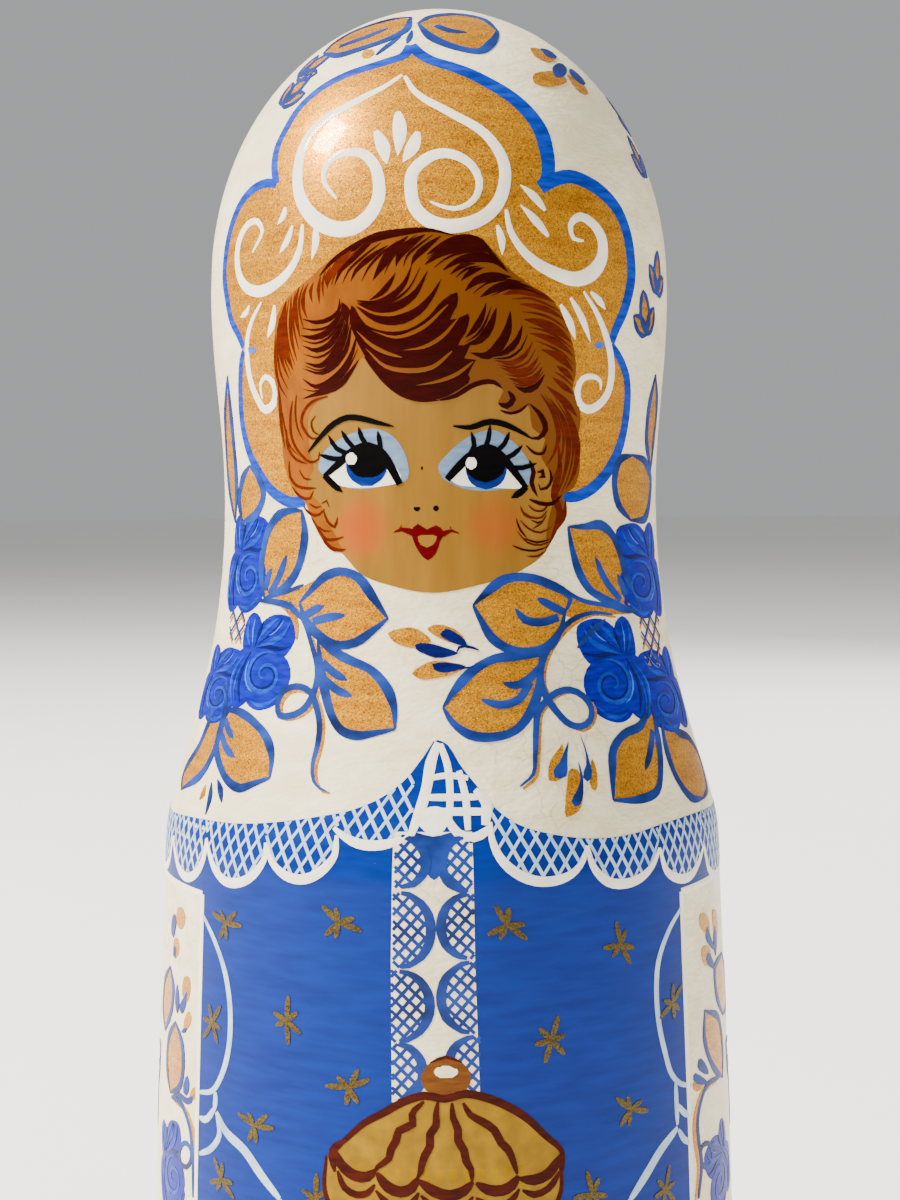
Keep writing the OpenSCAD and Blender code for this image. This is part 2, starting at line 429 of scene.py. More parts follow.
def ground(b):
    """The ivory ground over the whole doll, and the blue of the sarafan round the side panels."""
    count = (64, 96, 120)[b.fine]
    azimuths = np.linspace(-math.pi, math.pi, count, endpoint=False)
    foot = way_at(FOOT_LINE)
    rows = round(foot / (GRID * b.step))
    cap_ring = np.full(count, 0.6)
    b.sheet("ivory", azimuths, cap_ring, np.full(count, foot), rows, GROUND, closed=True)
    cap = np.vstack([[(0, 0, GROUND)], np.column_stack([azimuths, cap_ring, np.full(count, GROUND)])])
    b.lay("ivory", cap, [(0, 1 + (k + 1) % count, 1 + k) for k in range(count)])
    for middle in (0, math.pi / 2, math.pi, -math.pi / 2):
        panel = abs(middle) == math.pi / 2
        half = math.pi / 2 - PANEL_FRONT if panel else PANEL_FRONT
        spacing = math.radians(1.0 if middle == 0 and b.fine else 3.0)
        row = np.linspace(middle - half, middle + half, round(2 * half / spacing) + 1)
        edge, hem_line = shawl_edge(row), np.full(len(row), foot)
        bands = [(edge, hem_line)]
        if panel:
            bands = [(edge, np.full(len(row), PANEL_TOP)), (np.full(len(row), PANEL_BOTTOM), hem_line)]
        for upper, lower in bands:
            rows = max(3, round((lower - upper).mean() / (GRID * b.step)) + 1)
            b.sheet("blue", row, upper, lower, rows, SKIRT)


SHAWL_EDGE = xy(
    173,812, 200,819, 240,823, 280,822, 320,817, 350,811, 380,798, 405,780, 425,755, 437,740, 445,742,
    460,765, 480,790, 500,812, 520,825, 550,834, 590,838, 630,834, 660,825, 690,815, 712,805,
)
# The doll's radius there, which turns azimuths into millimetres
SHAWL_R = 50
edge_points = spline(spot(SHAWL_EDGE) * (SHAWL_R, 1), 1.0) / (SHAWL_R, 1)
BACK_EDGE = (edge_points[0, 1] + edge_points[-1, 1]) / 2

PANEL_EDGES = spot(xy(204,896, 203,1000, 200,1100, 682,890, 686,990, 690,1080))
PANEL_FRONT = np.abs(PANEL_EDGES[:, 0]).mean()
PANEL_TOP, PANEL_BOTTOM = (PANEL_EDGES[0, 1] + PANEL_EDGES[3, 1]) / 2, way_at(16)


def shawl_edge(azimuths):
    """The way down to the shawl's lower edge."""
    turns = np.concatenate([edge_points[:, 0], np.radians([100, 180, 260])])
    ways = np.concatenate([edge_points[:, 1], [BACK_EDGE] * 3])
    return np.interp(azimuths, turns, ways, period=2 * math.pi)


def headdress(b):
    """The gold crest with its blue outline and raised white scrolls."""
    left_crest = xy(
        277,184, 275,165, 278,147, 286,130, 300,108, 320,90, 345,76, 370,67, 390,61, 404,56, 411,46,
    )
    right_crest = xy(
        411,46, 419,54, 430,60, 450,67, 470,74, 490,84, 510,97, 527,112, 540,130, 546,150, 548,170, 546,181,
        540,188,
    )
    left_wing = xy(
        277,184, 268,183, 257,187, 245,198, 237,212, 231,230, 227,250, 225,275, 227,295, 232,320, 239,335,
        244,347,
    )
    left_lappet = xy(
        244,351, 242,362, 241,375, 241,395, 242,415, 245,435, 251,455, 258,470, 268,486, 280,497, 292,502,
        305,501,
    )
    right_wing = xy(
        540,188, 553,180, 570,177, 588,183, 605,195, 618,212, 626,232, 630,255, 631,275, 628,295, 622,315,
        614,332, 611,343,
    )
    right_lappet = xy(
        611,346, 620,360, 626,378, 627,400, 625,420, 621,440, 613,462, 602,478, 590,489, 575,496, 560,497,
    )
    around = [left_lappet[::-1], left_wing[::-1], left_crest, right_crest, right_wing, right_lappet]
    under_hair = xy(540,520, 430,480, 325,520)
    b.fill("gold", np.vstack([b.flow(spot(rim))[:-1] for rim in around] + [spot(under_hair)]), FIELD)
    rims = [
        (left_crest, [10, 10, 10, 11, 13], BLUNT), (right_crest, [13, 13, 16, 18, 14], BLUNT),
        (left_wing, [10, 12, 12, 10], (0.9, 0.8)), (left_lappet, [9, 11, 12, 12], (0.8, 0.9)),
        (right_wing, [14, 16, 16, 12], (0.9, 0.8)), (right_lappet, [10, 13, 14, 11], (0.8, 0.9)),
    ]
    for path, widths, ends in rims:
        line_of(b, "cobalt", path, widths, COVER, ends=ends)
    scrolls = [
        (xy(
            402,76, 385,87, 365,97, 345,108, 325,120, 310,135, 301,155, 298,175, 300,195, 308,212, 322,224,
            340,229, 358,225, 370,215, 378,200, 379,182, 375,166, 365,155, 350,153, 335,158, 326,168,
            324,180, 329,190, 337,199,
        ), [8, 11, 11, 12, 13, 16, 15, 12, 11, 10, 7]),
        (xy(
            405,76, 415,92, 425,100, 440,108, 460,118, 480,130, 495,146, 504,165, 504,185, 498,203, 485,217,
            465,225, 445,226, 428,220, 415,208, 411,190, 413,172, 424,160, 440,154, 458,157, 472,166,
            479,180, 477,195, 468,205, 455,209, 440,206, 430,201,
        ), [8, 11, 11, 12, 13, 14, 13, 12, 11, 9, 6]),
        (xy(
            303,225, 300,250, 290,270, 275,285, 258,292, 245,285, 238,265, 240,240, 248,225, 258,222,
            263,232, 258,243, 253,253,
        ), [8, 10, 12, 11, 10, 8, 6]),
        (xy(
            506,210, 510,230, 520,247, 535,262, 555,273, 576,279, 595,270, 602,255, 601,238, 592,224,
            580,217, 570,226, 573,238, 583,241,
        ), [8, 10, 13, 16, 14, 10, 7]),
        (xy(
            262,303, 253,320, 248,340, 248,360, 251,380, 257,397, 266,410, 274,403, 276,393, 273,382,
            266,377, 261,385, 263,399,
        ), [6, 8, 9, 9, 8, 6]),
        (xy(
            583,292, 597,315, 605,335, 610,355, 611,375, 607,393, 597,405, 587,409, 579,403, 577,390,
            582,379, 592,376, 600,381, 600,390,
        ), [6, 9, 10, 9, 8, 6]),
    ]
    lines_of(b, "white", scrolls, COVER, dome=0.07, ends=(0.4, 0.3))
    petals = [
        ((398, 112), (398, 156), 15), ((376, 132), (387, 164), 14), ((418, 132), (403, 163), 14),
        ((286, 207), (278, 225), 8), ((293, 225), (280, 253), 8), ((316, 228), (312, 260), 9),
        ((545, 211), (520, 185), 9), ((548, 237), (520, 205), 9), ((497, 225), (502, 255), 8),
        ((275, 305), (268, 338), 9), ((250, 305), (241, 318), 7),
        ((590, 292), (605, 310), 8), ((560, 305), (575, 340), 9), ((570, 297), (590, 342), 8),
    ]
    for start, end, width in petals:
        middle = ((start[0] + end[0]) / 2 + 2, (start[1] + end[1]) / 2)
        widths = [width * 0.7, width, width * 0.5]
        line_of(b, "white", [start, middle, end], widths, COVER, dome=0.06, ends=(0.5, 0.1))
    for x, y in ((252, 350), (599, 345)):
        b.fill("sky", spot(oval(x, y, 5, 3)), LINE)


def hair(b):
    """Amber hair with a parting, and the dark strokes that draw its locks."""
    outer = xy(
        345,552, 330,548, 320,535, 312,517, 304,500, 292,485, 285,465, 283,445, 280,420, 277,395, 275,370,
        275,340, 278,315, 285,302, 298,288, 312,277, 325,264, 345,252, 360,242, 380,233, 405,230, 432,230,
        455,234, 475,240, 492,250, 505,265, 530,285, 548,297, 560,312, 568,330, 574,352, 575,375, 572,388,
        577,400, 580,420, 577,440, 579,455, 578,475, 573,488, 562,497, 565,505, 561,520, 553,538, 545,550,
    )
    inner = xy(
        545,550, 548,520, 552,505, 553,490, 548,470, 540,455, 545,440, 532,428, 527,405, 520,410, 508,410,
        498,402, 503,392, 500,386, 490,383, 478,383, 465,389, 455,396, 445,400, 430,401, 415,399, 400,395,
        388,385, 377,372, 365,357, 357,362, 352,374, 345,384, 335,391, 325,396, 315,405, 309,415, 308,430,
        311,455, 314,470, 308,480, 314,496, 322,506, 324,520, 333,530, 340,545, 345,552,
    )
    b.fill("hair", np.vstack([b.flow(spot(outer))[:-1], b.flow(spot(inner))[:-1]]), LINE, FINE_GRID)
    fringe = xy(
        352,306, 366,325, 386,332, 408,329, 428,317, 443,300, 457,292, 457,306, 450,320, 458,318, 468,314,
        466,332, 458,346, 470,346, 464,358, 476,360, 468,374, 470,378, 456,391, 440,399, 420,399, 400,393,
        386,383, 375,370, 364,354, 356,338, 350,320,
    )
    blot(b, "umber", fringe, RELIEF)
    partings = [
        (xy(357,331, 372,345, 388,354, 402,358), 4), (xy(366,348, 386,366, 408,370, 432,367, 452,351), 5),
        (xy(404,350, 424,347, 442,337, 458,318), 4), (xy(416,385, 440,381, 458,373, 473,361), 4),
        (xy(372,331, 395,338, 420,330, 448,304), 4),
    ]
    for path, width in partings:
        line_of(b, "hair", path, [width * 0.4, width, width * 0.8], TOUCH, ends=(0.1, 0.3))
    locks = [
        # Fringe above the dark mass, from the parting to the right
        ("umber", xy(357,301, 375,303, 392,296, 405,282, 412,265), 7),
        ("umber", xy(358,303, 375,309, 395,307, 413,296, 428,271), 9),
        ("umber", xy(357,306, 375,318, 395,321, 418,311, 434,292, 441,279), 10),
        ("umber", xy(370,300, 381,293, 390,283, 396,273), 6),
        # Left fringe, swept down from the parting
        ("umber", xy(340,298, 339,311, 331,319, 317,323, 303,319), 5),
        ("umber", xy(345,305, 338,320, 328,332, 315,338, 301,336), 7),
        ("umber", xy(347,310, 339,332, 329,345, 317,350, 303,345), 7),
        ("umber", xy(349,316, 343,340, 333,357, 321,366, 305,362), 8),
        ("umber", xy(352,324, 346,350, 337,364, 323,373, 303,369), 6),
        ("umber", xy(357,336, 353,352, 344,370, 331,382, 316,386, 303,379), 8),
        ("umber", xy(359,360, 352,371, 341,384, 328,391, 312,396, 303,399), 7),
        ("umber", xy(343,303, 346,311, 347,322), 10),
        # Left side
        ("chestnut", xy(314,282, 311,292, 313,303), 4),
        ("chestnut", xy(309,283, 304,295, 304,308, 308,319), 5),
        ("chestnut", xy(300,287, 296,302, 297,320, 301,339), 6),
        ("chestnut", xy(292,296, 291,320, 293,343, 298,362), 5),
        ("chestnut", xy(287,301, 283,325, 286,350, 294,370), 12),
        ("chestnut", xy(280,318, 280,345, 284,365, 290,379), 6),
        ("chestnut", xy(276,335, 276,360, 280,385, 288,399), 4),
        ("chestnut", xy(279,385, 281,405, 282,425, 286,450), 5),
        ("chestnut", xy(321,276, 319,290, 320,304), 4),
        ("chestnut", xy(331,267, 327,278, 328,289), 5),
        # Top, feathered down from the hairline
        ("umber", xy(320,276, 333,261, 352,248, 376,237, 402,232, 432,231, 455,236), 9),
        ("chestnut", xy(355,247, 340,262, 332,274, 328,286), 8),
        ("umber", xy(374,240, 354,257, 341,271, 335,286), 8),
        ("umber", xy(388,245, 367,261, 356,271, 351,281), 6),
        ("umber", xy(408,236, 392,251, 382,265, 373,281), 10),
        ("umber", xy(425,234, 408,246, 399,256, 396,267), 9),
        ("umber", xy(441,236, 424,249, 415,258, 411,266), 7),
        # Right top, arched
        ("umber", xy(427,254, 445,244, 465,239, 482,242, 493,253), 10),
        ("umber", xy(425,265, 441,253, 465,247, 488,251, 500,262), 10),
        ("umber", xy(443,271, 456,261, 475,257, 495,261, 508,272), 10),
        ("umber", xy(450,275, 462,266, 476,263), 5),
        ("umber", xy(461,280, 471,272, 484,268), 6),
        ("umber", xy(465,291, 476,281, 492,276, 512,277), 10),
        ("umber", xy(480,297, 495,288, 514,284, 533,288), 9),
        ("chestnut", xy(503,294, 520,291, 538,294, 555,303), 9),
        ("chestnut", xy(519,304, 535,306, 551,312, 565,321), 6),
        ("chestnut", xy(524,320, 541,323, 558,331, 571,342), 10),
        ("chestnut", xy(530,333, 548,339, 562,346, 573,356), 8),
        ("chestnut", xy(541,350, 554,354, 566,363, 573,373), 9),
        ("chestnut", xy(556,366, 565,372, 573,381), 7),
        ("chestnut", xy(552,377, 562,385, 573,394), 7),
        # Right middle, in short curves
        ("umber", xy(486,304, 481,318, 473,330, 465,338), 7),
        ("umber", xy(496,308, 490,326, 480,340, 464,346), 9),
        ("umber", xy(510,312, 507,331, 499,346, 487,356, 470,352), 11),
        ("umber", xy(522,326, 516,342, 506,352, 490,357), 7),
        ("chestnut", xy(532,342, 525,355, 512,363, 494,360), 6),
        ("chestnut", xy(538,357, 530,368, 517,373, 500,368), 7),
        ("chestnut", xy(542,367, 533,378, 520,382, 508,378), 7),
        ("umber", xy(544,375, 536,386, 524,390, 514,386), 7),
        # Right side, falling to the shoulder
        ("chestnut", xy(546,386, 557,396, 567,404, 577,418), 8),
        ("chestnut", xy(540,393, 553,414, 558,436, 553,455, 545,467), 6),
        ("chestnut", xy(549,398, 563,420, 568,448, 564,474, 556,497), 7),
        ("chestnut", xy(560,400, 572,424, 577,450, 573,474, 565,490), 8),
        ("chestnut", xy(558,445, 559,470, 554,495, 559,512, 554,531, 548,546), 9),
        ("chestnut", xy(565,500, 564,514, 557,530), 6),
        ("umber", xy(529,404, 541,417, 545,430, 538,439, 525,436), 7),
    ]
    for coat, path, width in locks:
        line_of(b, coat, path, [width * 0.5, width, width * 0.35], RELIEF, ends=(0.15, 0.05))
    far_apart = 34
    for (coat, first, _), (_, second, _) in zip(locks, locks[1:]) if b.fine > 1 else []:
        gaps = [math.dist(p, q) for p, q in zip(first, second)]
        if len(first) == len(second) and max(gaps) < far_apart:
            line_of(b, coat, np.add(first, second) / 2, [1.2, 2.8, 1.2], RELIEF + NUDGE, ends=(0.2, 0.1))
    rims = [
        (xy(365,357, 376,371, 388,385, 402,395, 420,400, 440,400), 4),
        (xy(440,400, 456,395, 470,386, 482,382, 494,383, 502,388), 5),
    ]
    curls = [
        (xy(328,396, 313,402, 305,410, 302,422, 306,432, 313,438, 320,437), 3),
        (xy(316,415, 312,422, 314,431, 321,435), 2),
        (xy(293,401, 291,420, 293,440, 302,455, 311,462, 319,459, 320,452), 3),
        (xy(287,430, 289,448, 297,459, 308,464), 3), (xy(290,462, 291,477, 297,485, 307,488, 317,488), 3),
        (xy(293,487, 301,497, 311,498, 314,491), 3), (xy(304,506, 312,514, 320,515, 325,509), 3),
        (xy(324,511, 328,522, 335,527, 338,517), 3), (xy(312,517, 321,533, 327,540, 336,540, 344,537), 3),
        (xy(322,537, 331,547, 340,551, 346,549), 4), (xy(322,504, 327,501, 330,507), 2),
        (xy(508,391, 513,399, 506,406, 498,403), 6), (xy(500,410, 510,413, 520,411, 528,403), 3),
        (xy(526,446, 534,453, 543,453, 546,444), 3), (xy(529,460, 533,472, 531,482, 537,496), 5),
        (xy(537,472, 542,471, 543,477, 538,478), 5), (xy(549,469, 551,480, 546,488, 540,489, 538,484), 3),
        (xy(529,500, 540,504, 552,503, 561,495), 4), (xy(516,519, 520,530, 527,538), 2),
        (xy(512,545, 522,550, 535,551, 548,547), 2), (xy(524,538, 536,542, 549,539), 2),
        (xy(531,520, 537,523, 543,520), 2),
    ]
    parting_x = 350
    for path, width in (rims + curls if b.fine else rims):
        line_of(b, "umber" if path[0][0] > parting_x else "chestnut", path, width, TOUCH, ends=(0.3, 0.1))
    wisps = [
        xy(520,521, 528,529, 540,532, 551,527), xy(517,531, 527,542, 540,545, 550,541),
        xy(523,512, 531,517, 541,517, 547,511), xy(528,505, 534,510, 543,510, 549,502),
        xy(533,528, 541,523, 546,515), xy(520,506, 524,515, 531,519), xy(527,556, 537,556, 546,551),
        xy(283,412, 286,430, 291,446, 299,455), xy(297,395, 296,412, 298,428, 304,440),
        xy(300,470, 305,478, 312,480), xy(310,503, 317,508, 322,506), xy(318,525, 325,531, 332,531),
    ]
    for path in wisps if b.fine > 1 else []:
        line_of(b, "chestnut", path, 2, TOUCH, ends=(0.3, 0.1))


def face(b):
    """The bare wood of the face, its eyes, nose, lips and blush."""
    rim = xy(
        345,556, 360,573, 392,586, 433,593, 478,586, 518,572, 545,552, 556,500, 558,430, 540,372, 440,350,
        360,330, 300,390, 296,470, 325,535,
    )
    b.fill("face", b.flow(spot(rim), closed=True), COVER, FINE_GRID)
    eyes = [
        {
            "lid": xy(
                319,470, 322,456, 335,442, 352,433, 372,429, 390,434, 402,447, 408,463, 408,478, 386,486,
                343,487, 328,478,
            ),
            "white": xy(328,476, 340,462, 350,452, 370,446, 385,455, 401,482, 385,486, 360,487, 343,486),
            "iris": (367, 466), "pupil": (368, 461), "light": (352, 459),
            "upper": xy(400,484, 391,467, 383,454, 369,447, 352,452, 340,463, 325,477),
            "tail": xy(325,475, 333,483, 343,492),
            "lashes": [
                xy(347,458, 335,459, 320,454), xy(350,454, 337,448, 329,436),
                xy(356,449, 348,441, 342,430), xy(368,446, 362,438, 359,427),
                xy(381,451, 380,441, 378,431),
            ],
            "brow": xy(309,452, 320,439, 335,424, 348,417, 362,418, 377,423, 394,426),
        },
        {
            "lid": xy(
                438,467, 447,455, 460,442, 475,434, 495,431, 510,439, 522,451, 530,467, 531,482, 510,488,
                455,485, 443,478,
            ),
            "white": xy(
                450,479, 465,461, 478,451, 490,449, 502,457, 512,470, 524,486, 500,488, 475,487, 456,484,
            ),
            "iris": (486, 469), "pupil": (485, 465), "light": (471, 463),
            "upper": xy(447,479, 459,467, 472,455, 488,449, 502,457, 512,470, 526,488),
            "tail": xy(526,486, 520,492, 511,498),
            "lashes": [
                xy(470,455, 474,445, 471,432), xy(484,450, 488,440, 490,425),
                xy(496,451, 504,444, 509,432), xy(504,459, 513,455, 522,445),
                xy(512,468, 522,468, 536,464),
            ],
            "brow": xy(453,426, 470,427, 490,422, 505,424, 518,431, 531,438),
        },
    ]
    for eye in eyes:
        blot(b, "pale", eye["lid"], LINE)
        blot(b, "white", eye["white"], RELIEF)
        b.fill("iris", spot(oval(*eye["iris"], 20.5, 20.5)), TOUCH)
        b.fill("black", spot(oval(*eye["pupil"], 20, 17)), GLINT)
        b.fill("white", spot(oval(*eye["light"], 5.5, 6)), GLINT + LAYER)
        line_of(b, "black", eye["upper"], [8, 9, 8, 9, 9, 8, 6], GLINT, ends=FIRM)
        line_of(b, "black", eye["tail"], 7, GLINT, ends=(0.9, 0.1))
        line_of(b, "black", eye["brow"], [4, 6, 6, 5], GLINT, ends=(0.3, 0.15))
        for lash in eye["lashes"]:
            line_of(b, "black", lash, 5, GLINT, ends=(1, 0.15))
    for x, y, wide, tall in ((417, 509, 3.4, 2.6), (436, 508, 3.0, 2.6), (422, 468, 1.0, 2.0)):
        b.fill("black", spot(oval(x, y, wide, tall, count=10)), LINE)
    lips = xy(411,532, 418,524, 427,529, 436,525, 444,532, 440,542, 436,553, 428,560, 419,552, 413,540)
    blot(b, "red", lips, LINE)
    lines_of(b, "red", [
        (xy(394,532, 402,529, 412,533, 427,534, 444,534, 452,531, 459,534), [3, 5, 7, 6, 7, 5, 3]),
        (xy(399,529, 402,525), 3), (xy(451,530, 450,526), 3),
    ])
    blot(b, "face", xy(418,537, 427,535, 437,537, 433,545, 427,548, 421,545), RELIEF)


def crown_leaves(b):
    """Leaves and small marks on the shawl over the crown."""
    leaves = [
        (xy(324,54, 334,44, 350,34, 370,26, 392,20, 411,18),
         xy(411,18, 404,32, 385,41, 362,49, 342,55, 324,54), xy(340,47, 365,38, 388,29), 8.5),
        (xy(418,24, 432,17, 455,15, 478,18, 497,31),
         xy(497,31, 492,43, 478,52, 455,48, 435,40, 418,24), xy(436,26, 450,31, 466,33), 9.0),
    ]
    for upper, lower, vein, width in leaves:
        leaf(b, spot(upper), spot(lower), [spot(vein)], width)
    lines_of(b, "outline", [(xy(412,31, 410,37, 407,44), [3, 6, 6]), (xy(401,37, 387,47, 376,56), [3, 7, 6])])
    dabs(b, [
        ("gold", xy(362,57, 365,51, 372,50, 374,55, 368,59)),
        ("gold", xy(532,77, 545,72, 560,74, 566,80, 560,86, 545,87, 534,83)),
        ("outline", oval(559, 71, 7, 7, count=12)),
        ("gold", xy(567,75, 576,80, 585,88, 588,95, 580,93, 572,85)),
        ("outline", xy(570,69, 578,75, 585,84, 579,84, 572,78)),
        ("gold", xy(530,49, 540,50, 552,54, 555,59, 545,62, 535,57)),
        ("outline", xy(540,50, 552,53, 556,57, 546,57)),
    ])
    twigs = xy(632,133, 645,178, 656,295, 646,335, 282,106, 298,78)
    for origin, lean in zip(spot(twigs), (115, 100, 80, 105, 60, 40)):
        for length, width, fan in ((8, 3.4, 0), (6, 2.6, 45), (6, 2.6, -45)):
            grown_leaf(b, origin, length, width, lean + fan, veined=False)
    for k in range(5):
        turn = math.radians(118 + 31 * k)
        way = 52 + 20 * (k % 2)
        for length, width, lean in ((19, 9, 80), (16, 8, 140), (16, 8, 20), (13, 6.5, -60), (13, 6.5, -120)):
            grown_leaf(b, (turn, way), length, width, lean, veined=b.fine > 0)
        rose(b, (turn, way + 1), 6.5, 6.2, k)


def bouquets(b):
    """Gold leaves, blue roses and stems on both sides of the shawl."""
    leaves = [
        # Left side, from base to tip and back
        (xy(300,603, 310,592, 325,577, 340,571, 358,577, 372,595, 388,619),
         xy(388,619, 372,632, 355,643, 340,645, 322,638, 305,618, 300,603),
         [xy(306,616, 314,610, 324,606), xy(313,621, 328,617, 345,615)]),
        (xy(318,640, 330,650, 350,660, 372,671, 387,688, 394,708, 395,730),
         xy(395,730, 375,734, 357,736, 342,730, 332,715, 326,695, 322,670, 318,640),
         [xy(323,662, 334,672, 347,680), xy(325,680, 337,690, 352,696)]),
        (xy(265,598, 262,575, 264,550, 270,528, 280,514, 293,510, 302,510),
         xy(302,510, 305,530, 303,552, 296,573, 283,590, 265,598),
         [xy(270,595, 280,576, 287,556), xy(266,590, 268,580, 272,568)]),
        (xy(225,710, 240,712, 255,722, 268,740, 272,755, 270,778),
         xy(270,778, 255,783, 240,788, 228,780, 220,765, 217,748, 221,725, 225,710),
         [xy(226,720, 229,730, 234,738), xy(222,735, 227,748, 235,757)]),
        (xy(228,680, 224,720, 205,770, 182,790), xy(182,790, 183,778, 200,745, 218,700, 228,680), []),
        (xy(243,523, 240,500, 243,480, 250,465), xy(250,465, 258,475, 264,495, 258,512, 243,523), []),
        (xy(236,522, 229,480, 226,430, 228,376), xy(228,376, 233,430, 237,480, 236,522), []),
        # Right side
        (xy(565,612, 570,600, 548,584, 527,577, 505,580, 485,594, 473,606),
         xy(473,606, 482,622, 492,638, 510,650, 530,652, 545,648, 560,630, 565,612),
         [xy(558,617, 540,623, 525,620, 515,609), xy(565,613, 552,607, 537,599)]),
        (xy(540,656, 515,656, 495,658, 475,670, 455,690, 443,708),
         xy(443,708, 452,722, 470,735, 492,738, 515,730, 530,712, 538,690, 540,656),
         [xy(540,668, 530,678, 515,685, 503,683), xy(530,682, 518,700, 500,705, 481,700)]),
        (xy(640,610, 635,595, 625,575, 620,555, 612,535, 600,525, 585,527, 568,527),
         xy(568,527, 572,550, 578,570, 588,588, 605,600, 625,609, 640,610),
         [xy(620,600, 605,580, 595,558), xy(625,595, 617,575)]),
        (xy(650,700, 640,725, 622,735, 613,750, 612,770, 613,800),
         xy(613,800, 640,800, 657,790, 660,765, 657,735, 650,700),
         [xy(652,730, 650,750, 645,770)]),
        (xy(660,715, 665,745, 675,775, 690,797, 703,798),
         xy(703,798, 706,785, 700,760, 690,740, 675,730, 660,715), []),
        (xy(630,520, 618,505, 614,480, 618,462, 632,455),
         xy(632,455, 645,463, 650,480, 645,518, 630,520), []),
        (xy(650,470, 653,440, 656,410, 655,375), xy(655,375, 648,410, 646,440, 650,470), []),
    ]
    for upper, lower, veins in leaves:
        leaf(b, spot(upper), spot(lower), [spot(v) for v in veins if b.fine])
    flowers = [
        (259, 662, 29, 50), (245, 565, 17, 50), (216, 684, 13, 42), (618, 670, 32, 54), (645, 571, 16, 49),
        (668, 690, 15, 45),
    ]
    for x, y, wide, tall in flowers:
        left, right, up, down, middle = spot(xy(x - wide, y, x + wide, y, x, y - tall, x, y + tall, x, y))
        rose(b, middle, (right[0] - left[0]) / 2 * radius_at(middle[1]), (down[1] - up[1]) / 2)
    stems = [
        xy(
            290,601, 303,620, 312,645, 318,675, 314,693, 305,708, 290,716, 280,715, 278,705, 283,693,
            296,687, 310,692, 317,708, 320,725, 318,745, 313,765, 314,780, 320,789, 327,791,
        ),
        xy(
            612,615, 590,613, 570,622, 552,642, 542,662, 541,685, 547,698, 557,713, 570,724, 580,727,
            590,720, 591,708, 583,697, 570,690, 557,692, 547,700, 538,712, 536,730, 535,755, 533,775,
            520,787,
        ),
    ]
    for path in stems:
        line_of(b, "gold", path + (3, 2), 6, COVER)
        line_of(b, "outline", path, [5, 7, 8, 7, 7, 8, 5], LINE)
    gold_sprigs = [xy(262,602, 285,605, 297,625, 297,640), xy(206,785, 204,793, 200,800)]
    dark_sprigs = [
        xy(605,620, 585,637, 577,648), xy(218,780, 221,790, 222,803), xy(212,783, 210,800, 206,815),
    ]
    for coat, sprigs in (("gold", gold_sprigs), ("outline", dark_sprigs)):
        lines_of(b, coat, [(path, [4, 9, 5]) for path in sprigs])
    dabs(b, [
        ("gold", xy(562,744, 556,752, 550,762, 548,772, 549,781, 556,781, 563,776, 562,765)),
        ("gold", xy(571,768, 577,770, 581,785, 582,802, 579,811, 572,816, 566,817, 565,804, 567,785)),
        ("gold", xy(592,760, 596,770, 597,780, 595,791, 591,788, 590,775)),
        ("outline", xy(568,742, 567,752, 567,765, 566,776, 554,777, 553,772, 559,762, 564,751)),
        ("outline", xy(578,762, 582,775, 583,787, 582,800, 579,806, 574,807, 571,802, 576,792, 580,780)),
        ("outline", xy(580,736, 586,751, 589,762, 591,778, 587,782, 583,778, 586,765, 585,752)),
    ])
    tapers = [
        xy(262,599, 284,594, 304,586, 320,579, 322,600, 312,614, 298,607, 280,602),
        xy(556,584, 575,598, 605,607, 637,613, 612,614, 588,612, 572,618, 560,612),
    ]
    for pixels in tapers:
        blot(b, "gold", pixels, FIELD + NUDGE)
    leaf_stems = [
        (xy(254,600, 272,601, 290,606, 303,619), [3, 6, 8, 8]),
        (xy(266,597, 286,592, 304,584), [2, 4, 5]),
        (xy(560,587, 577,598, 604,606, 638,612), [6, 5, 4, 2]),
    ]
    lines_of(b, "outline", leaf_stems, LINE + NUDGE)
    lattices = [xy(231,610, 246,610, 244,640, 230,640), xy(638,614, 658,614, 660,662, 646,662)]
    spacing = 2.6
    for rim in lattices if b.fine else []:
        for angle in (0.8, -0.8):
            b.hatch("gold", spot(rim + (0, 4)), spacing, 0.45, FIELD, angle)
            b.hatch("outline", spot(rim), spacing, 0.4, LINE, angle)


def throat_sprig(b):
    """The small gold and blue sprig under the chin."""
    dabs(b, [
        ("gold", xy(388,633, 400,629, 412,628, 424,634, 431,641, 418,648, 405,647, 394,642)),
        ("gold", xy(427,629, 437,625, 450,627, 458,632, 464,638, 455,644, 445,641, 434,635)),
        ("gold", xy(412,674, 422,666, 434,661, 450,662, 466,666, 450,676, 436,679, 418,679)),
        ("navy", xy(415,645, 428,643, 445,648, 458,653, 450,657, 436,658, 424,654, 416,650)),
        ("navy", xy(440,634, 446,629, 456,633, 465,640, 467,645, 458,645, 448,641)),
        ("navy", xy(432,664, 440,662, 455,664, 466,667, 455,671, 442,672, 434,669)),
    ])
    lines_of(b, "navy", [
        (xy(456,653, 459,648, 464,646, 472,648, 479,650), 3), (xy(460,669, 466,668, 474,666), 2),
    ], RELIEF)


